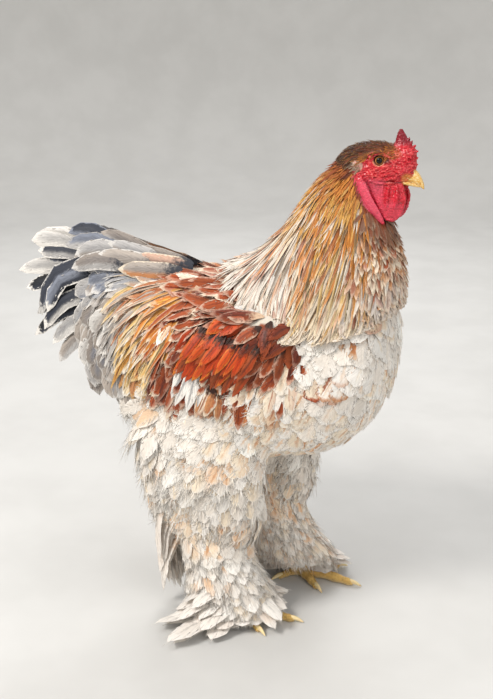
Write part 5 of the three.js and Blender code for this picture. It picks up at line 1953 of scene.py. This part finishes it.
vanePattern = vaneGroup()
vaneLooks = {
    # slot: rim start, streak width, barbs, depth, down (real down with painted shade of the gaps between
    # feathers), roughness, sheen
    "body_feathers": (0.6, 0.16, 24.0, 0.16, "peach", 0.75, 0.12),
    "hackle_feathers": (0.66, 0.5, 26.0, 0.24, "rust", 0.5, 0.05),
    "saddle_feathers": (0.62, 0.5, 34.0, 0.24, "rust", 0.45, 0.05),
    "wing_feathers": (0.55, 0.34, 22.0, 0.3, "darkBrown", 0.42, 0.04),
    "tail_feathers": (0.8, 0.6, 34.0, 0.26, "slate", 0.5, 0.06),
    "leg_feathers": (0.5, 0.16, 20.0, 0.14, "peach", 0.8, 0.15),
}


def vaneMaterial(name):
    rim, streak, barbs, depth, downAndGapShade, rough, sheen = vaneLooks[name]
    title = "".join(w.capitalize() if k else w for k, w in enumerate(name.split("_")))
    finish = {"Roughness": rough, "Specular IOR Level": 0.3, "Sheen Weight": sheen, "Sheen Roughness": 0.5}
    material, tree, shader = newMaterial(title, finish)
    vane = node(tree, "UVMap", uv_map="Vane").outputs["UV"]
    group = tree.nodes.new("ShaderNodeGroup")
    group.node_tree = vanePattern
    for key in ("Ground", "Rim", "Streak"):
        tree.links.new(attribute(tree, key.lower()), group.inputs[key])
    tree.links.new(vane, group.inputs["Vane"])
    # down colour darkened to 0.8: the real down, and painted shade between the feathers
    group.inputs["Down"].default_value = (*colours[downAndGapShade] * 0.8, 1)
    for key, value in (("Rim start", rim), ("Streak width", streak), ("Barbs", barbs), ("Depth", depth)):
        group.inputs[key].default_value = value
    tree.links.new(group.outputs["Color"], shader.inputs["Base Color"])
    bumped(tree, shader, group.outputs["Height"], 0.00012, 0.7)
    return material


def skinMaterial():
    finish = {
        "Specular IOR Level": 0.5, "Subsurface Weight": 0.06, "Subsurface Radius": (1.0, 0.25, 0.15),
        "Subsurface Scale": 0.003,
    }
    material, tree, shader = newMaterial("bareSkin", finish)
    where = objectPlace(tree)
    tone, bare = attribute(tree, "tone"), attribute(tree, "bare", "Fac")
    scaly = attribute(tree, "scaly", "Fac")
    cells = node(tree, "TexVoronoi", {"Vector": where, "Scale": 520.0}, feature="F1")
    pebble = cells.outputs["Distance"]
    fine = grain(tree, where, 900.0)
    broad = grain(tree, where, 120.0)
    # painted shade: darker between the pebbles of the bare skin, lighter on their tops
    pitShade = blended(tree, mapped(tree, pebble, 0.15, 0.6), (1.04, 1.04, 1.04), (0.92, 0.84, 0.84))
    red = blended(tree, bare, tone, blended(tree, 1.0, tone, pitShade, "MULTIPLY"))
    flush = times(tree, bare, mapped(tree, broad, 0.5, 0.75, 0.0, 0.35))
    red = blended(tree, flush, red, (0.72, 0.05, 0.08))
    plates = node(tree, "TexVoronoi", {"Vector": where, "Scale": 330.0}, feature="DISTANCE_TO_EDGE")
    seam = mapped(tree, plates.outputs["Distance"], 0.0, 0.09)
    dirty = blended(tree, seam, (0.2, 0.11, 0.05), (1.0, 1.0, 1.0))
    toe = blended(tree, 1.0, red, dirty, "MULTIPLY")
    colour = blended(tree, times(tree, scaly, 0.75), red, toe)
    tree.links.new(colour, shader.inputs["Base Color"])
    tree.links.new(mapped(tree, bare, 0.0, 1.0, 0.75, 0.27), shader.inputs["Roughness"])
    height = minus(tree, times(tree, fine, 0.5), pebble)
    height = plus(tree, times(tree, height, bare), times(tree, seam, scaly))
    bumped(tree, shader, height, 0.0005, 0.6)
    return material


def eyeMaterial():
    finish = {"Roughness": 0.12, "Specular IOR Level": 0.2, "Coat Weight": 0.22, "Coat Roughness": 0.03}
    material, tree, shader = newMaterial("eyeSurface", finish)
    gaze = attribute(tree, "gaze", "Fac")
    ring = tree.nodes.new("ShaderNodeValToRGB")
    stops = [
        (0.0, (0.003, 0.002, 0.002)),
        (0.4, (0.003, 0.002, 0.002)),
        (0.45, (0.06, 0.02, 0.01)),
        (0.52, (0.36, 0.15, 0.04)),
        (0.66, (0.6, 0.34, 0.12)),
        (0.75, (0.2, 0.08, 0.03)),
        (0.82, (0.02, 0.01, 0.01)),
    ]
    bar = ring.color_ramp.elements
    while len(bar) < len(stops):
        bar.new(0.5)
    for element, (place, colour) in zip(bar, stops):
        element.position = place
        element.color = (*colour, 1)
    tree.links.new(gaze, ring.inputs["Fac"])
    threads = grain(tree, objectPlace(tree), 1400.0)
    fleck = mapped(tree, threads, 0.35, 0.65, 0.0, 0.35)
    colour = blended(tree, fleck, ring.outputs["Color"], (0.9, 0.6, 0.2), "MULTIPLY")
    tree.links.new(colour, shader.inputs["Base Color"])
    return material


def hornMaterial(name, base, pale, dark, rough):
    finish = {
        "Roughness": rough, "Specular IOR Level": 0.5,
        "Subsurface Weight": 0.08, "Subsurface Scale": 0.002,
    }
    material, tree, shader = newMaterial(name, finish)
    where = objectPlace(tree)
    stretched = node(tree, "Mapping", {"Vector": where, "Scale": (0.25, 1.0, 1.0)}).outputs["Vector"]
    streaks = grain(tree, stretched, 900.0)
    broad = grain(tree, where, 160.0)
    colour = blended(tree, mapped(tree, streaks, 0.35, 0.7), colours[base], colours[pale])
    colour = blended(tree, mapped(tree, broad, 0.55, 0.8), colour, colours[dark])
    tree.links.new(colour, shader.inputs["Base Color"])
    bumped(tree, shader, streaks, 0.0001, 0.6)
    return material


def dress(thing, material, slot, *nodes):
    thing.data.materials.clear()
    thing.data.materials.append(material)
    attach(thing, "root")
    if nodes:
        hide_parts(*nodes)


fleshNodes = ["head", "comb", "neck", "torso", "tail"]
for part in ("wattle", "earlobe", "wing", "thigh", "shank", "foot"):
    fleshNodes += [f"{part}_right", f"{part}_left"]
dress(skin, skinMaterial(), "face_skin", *fleshNodes)
vaneMaterials = {name: vaneMaterial(name) for name in vaneLooks}
for thing, slot, nodes in coat:
    look = "saddle_feathers" if thing.name == "saddleFeathers" else slot
    dress(thing, vaneMaterials[look], slot, *nodes)
eyeSurface = eyeMaterial()
beakHorn = hornMaterial("beakHorn", "hornGold", "hornPale", "hornBrown", 0.38)
clawHorn = hornMaterial("clawHorn", "hornPale", "toePale", "hornBrown", 0.42)
dress(beakUpper, beakHorn, "beak", "beak_upper")
dress(beakLower, beakHorn, "beak", "beak_lower")
for side in sides:
    word = sideNames[side]
    dress(eyes[side], eyeSurface, "eye", f"eye_{word}")
    dress(claws[side], clawHorn, "claw", *[f"claw_{word}_{toe}" for toe in toes])
    dress(spurs[side], clawHorn, "claw", f"spur_{word}")
stage("materials")


# Floor that curves up all round, and soft studio light
studio = {"radius": 2.7, "curve": 0.9, "steps": 10}  # metres


def makeStudio():
    bpy.ops.object.select_all(action="DESELECT")
    bpy.ops.mesh.primitive_circle_add(vertices=96, radius=studio["radius"], fill_type="NGON")
    floor = bpy.context.object
    floor.name = "studioFloor"
    bpy.ops.object.mode_set(mode="EDIT")
    bpy.ops.mesh.select_all(action="SELECT")
    radius, height = studio["radius"], 0.0
    for step in range(1, studio["steps"] + 1):
        turn = math.radians(90 / studio["steps"] * step)
        newRadius = studio["radius"] + studio["curve"] * math.sin(turn)
        newHeight = studio["curve"] * (1 - math.cos(turn))
        bpy.ops.mesh.extrude_region_move(TRANSFORM_OT_translate={"value": (0, 0, newHeight - height)})
        scale = newRadius / radius
        bpy.ops.transform.resize(value=(scale, scale, 1))
        radius, height = newRadius, newHeight
    bpy.ops.mesh.delete(type="ONLY_FACE")
    bpy.ops.mesh.select_all(action="SELECT")
    bpy.ops.object.mode_set(mode="OBJECT")
    smoothFaces(floor)
    material, tree, shader = newMaterial("paperFloor", {"Roughness": 0.85, "Specular IOR Level": 0.2})
    tint = grain(tree, objectPlace(tree), 6.0)
    colour = blended(tree, mapped(tree, tint, 0.3, 0.7), (0.58, 0.575, 0.56), (0.62, 0.615, 0.6))
    tree.links.new(colour, shader.inputs["Base Color"])
    floor.data.materials.append(material)


lamps = {
    # place, size and strength in watts
    "keyLamp": ((-1.1, -1.9, 2.4), 1.0, 69),
    "fillLamp": ((2.0, -1.5, 1.5), 1.8, 15),
    "rimLamp": ((-0.7, 2.0, 2.2), 1.2, 34),
    "topLamp": ((0.2, 0.0, 2.8), 1.8, 18),
}


def makeLights():
    aim = Vector((0.05, 0, 0.34))
    for name, (place, size, power) in lamps.items():
        bpy.ops.object.light_add(type="AREA", location=place)
        lamp = bpy.context.object
        lamp.name = name
        lamp.data.energy = power
        lamp.data.shape = "DISK"
        lamp.data.size = size
        lamp.data.color = (1.0, 0.965, 0.92) if name == "keyLamp" else (1.0, 1.0, 1.0)
        lamp.rotation_euler = (aim - Vector(place)).to_track_quat("-Z", "Y").to_euler()
    world = bpy.data.worlds.new("studioWorld")
    bpy.context.scene.world = world
    world.use_nodes = True
    back = world.node_tree.nodes["Background"]
    back.inputs["Color"].default_value = (1.0, 0.985, 0.96, 1)
    back.inputs["Strength"].default_value = 0.5


makeStudio()
makeLights()
total = sum(coatCount.values())
stage(f"plumage of {total} triangles in all")
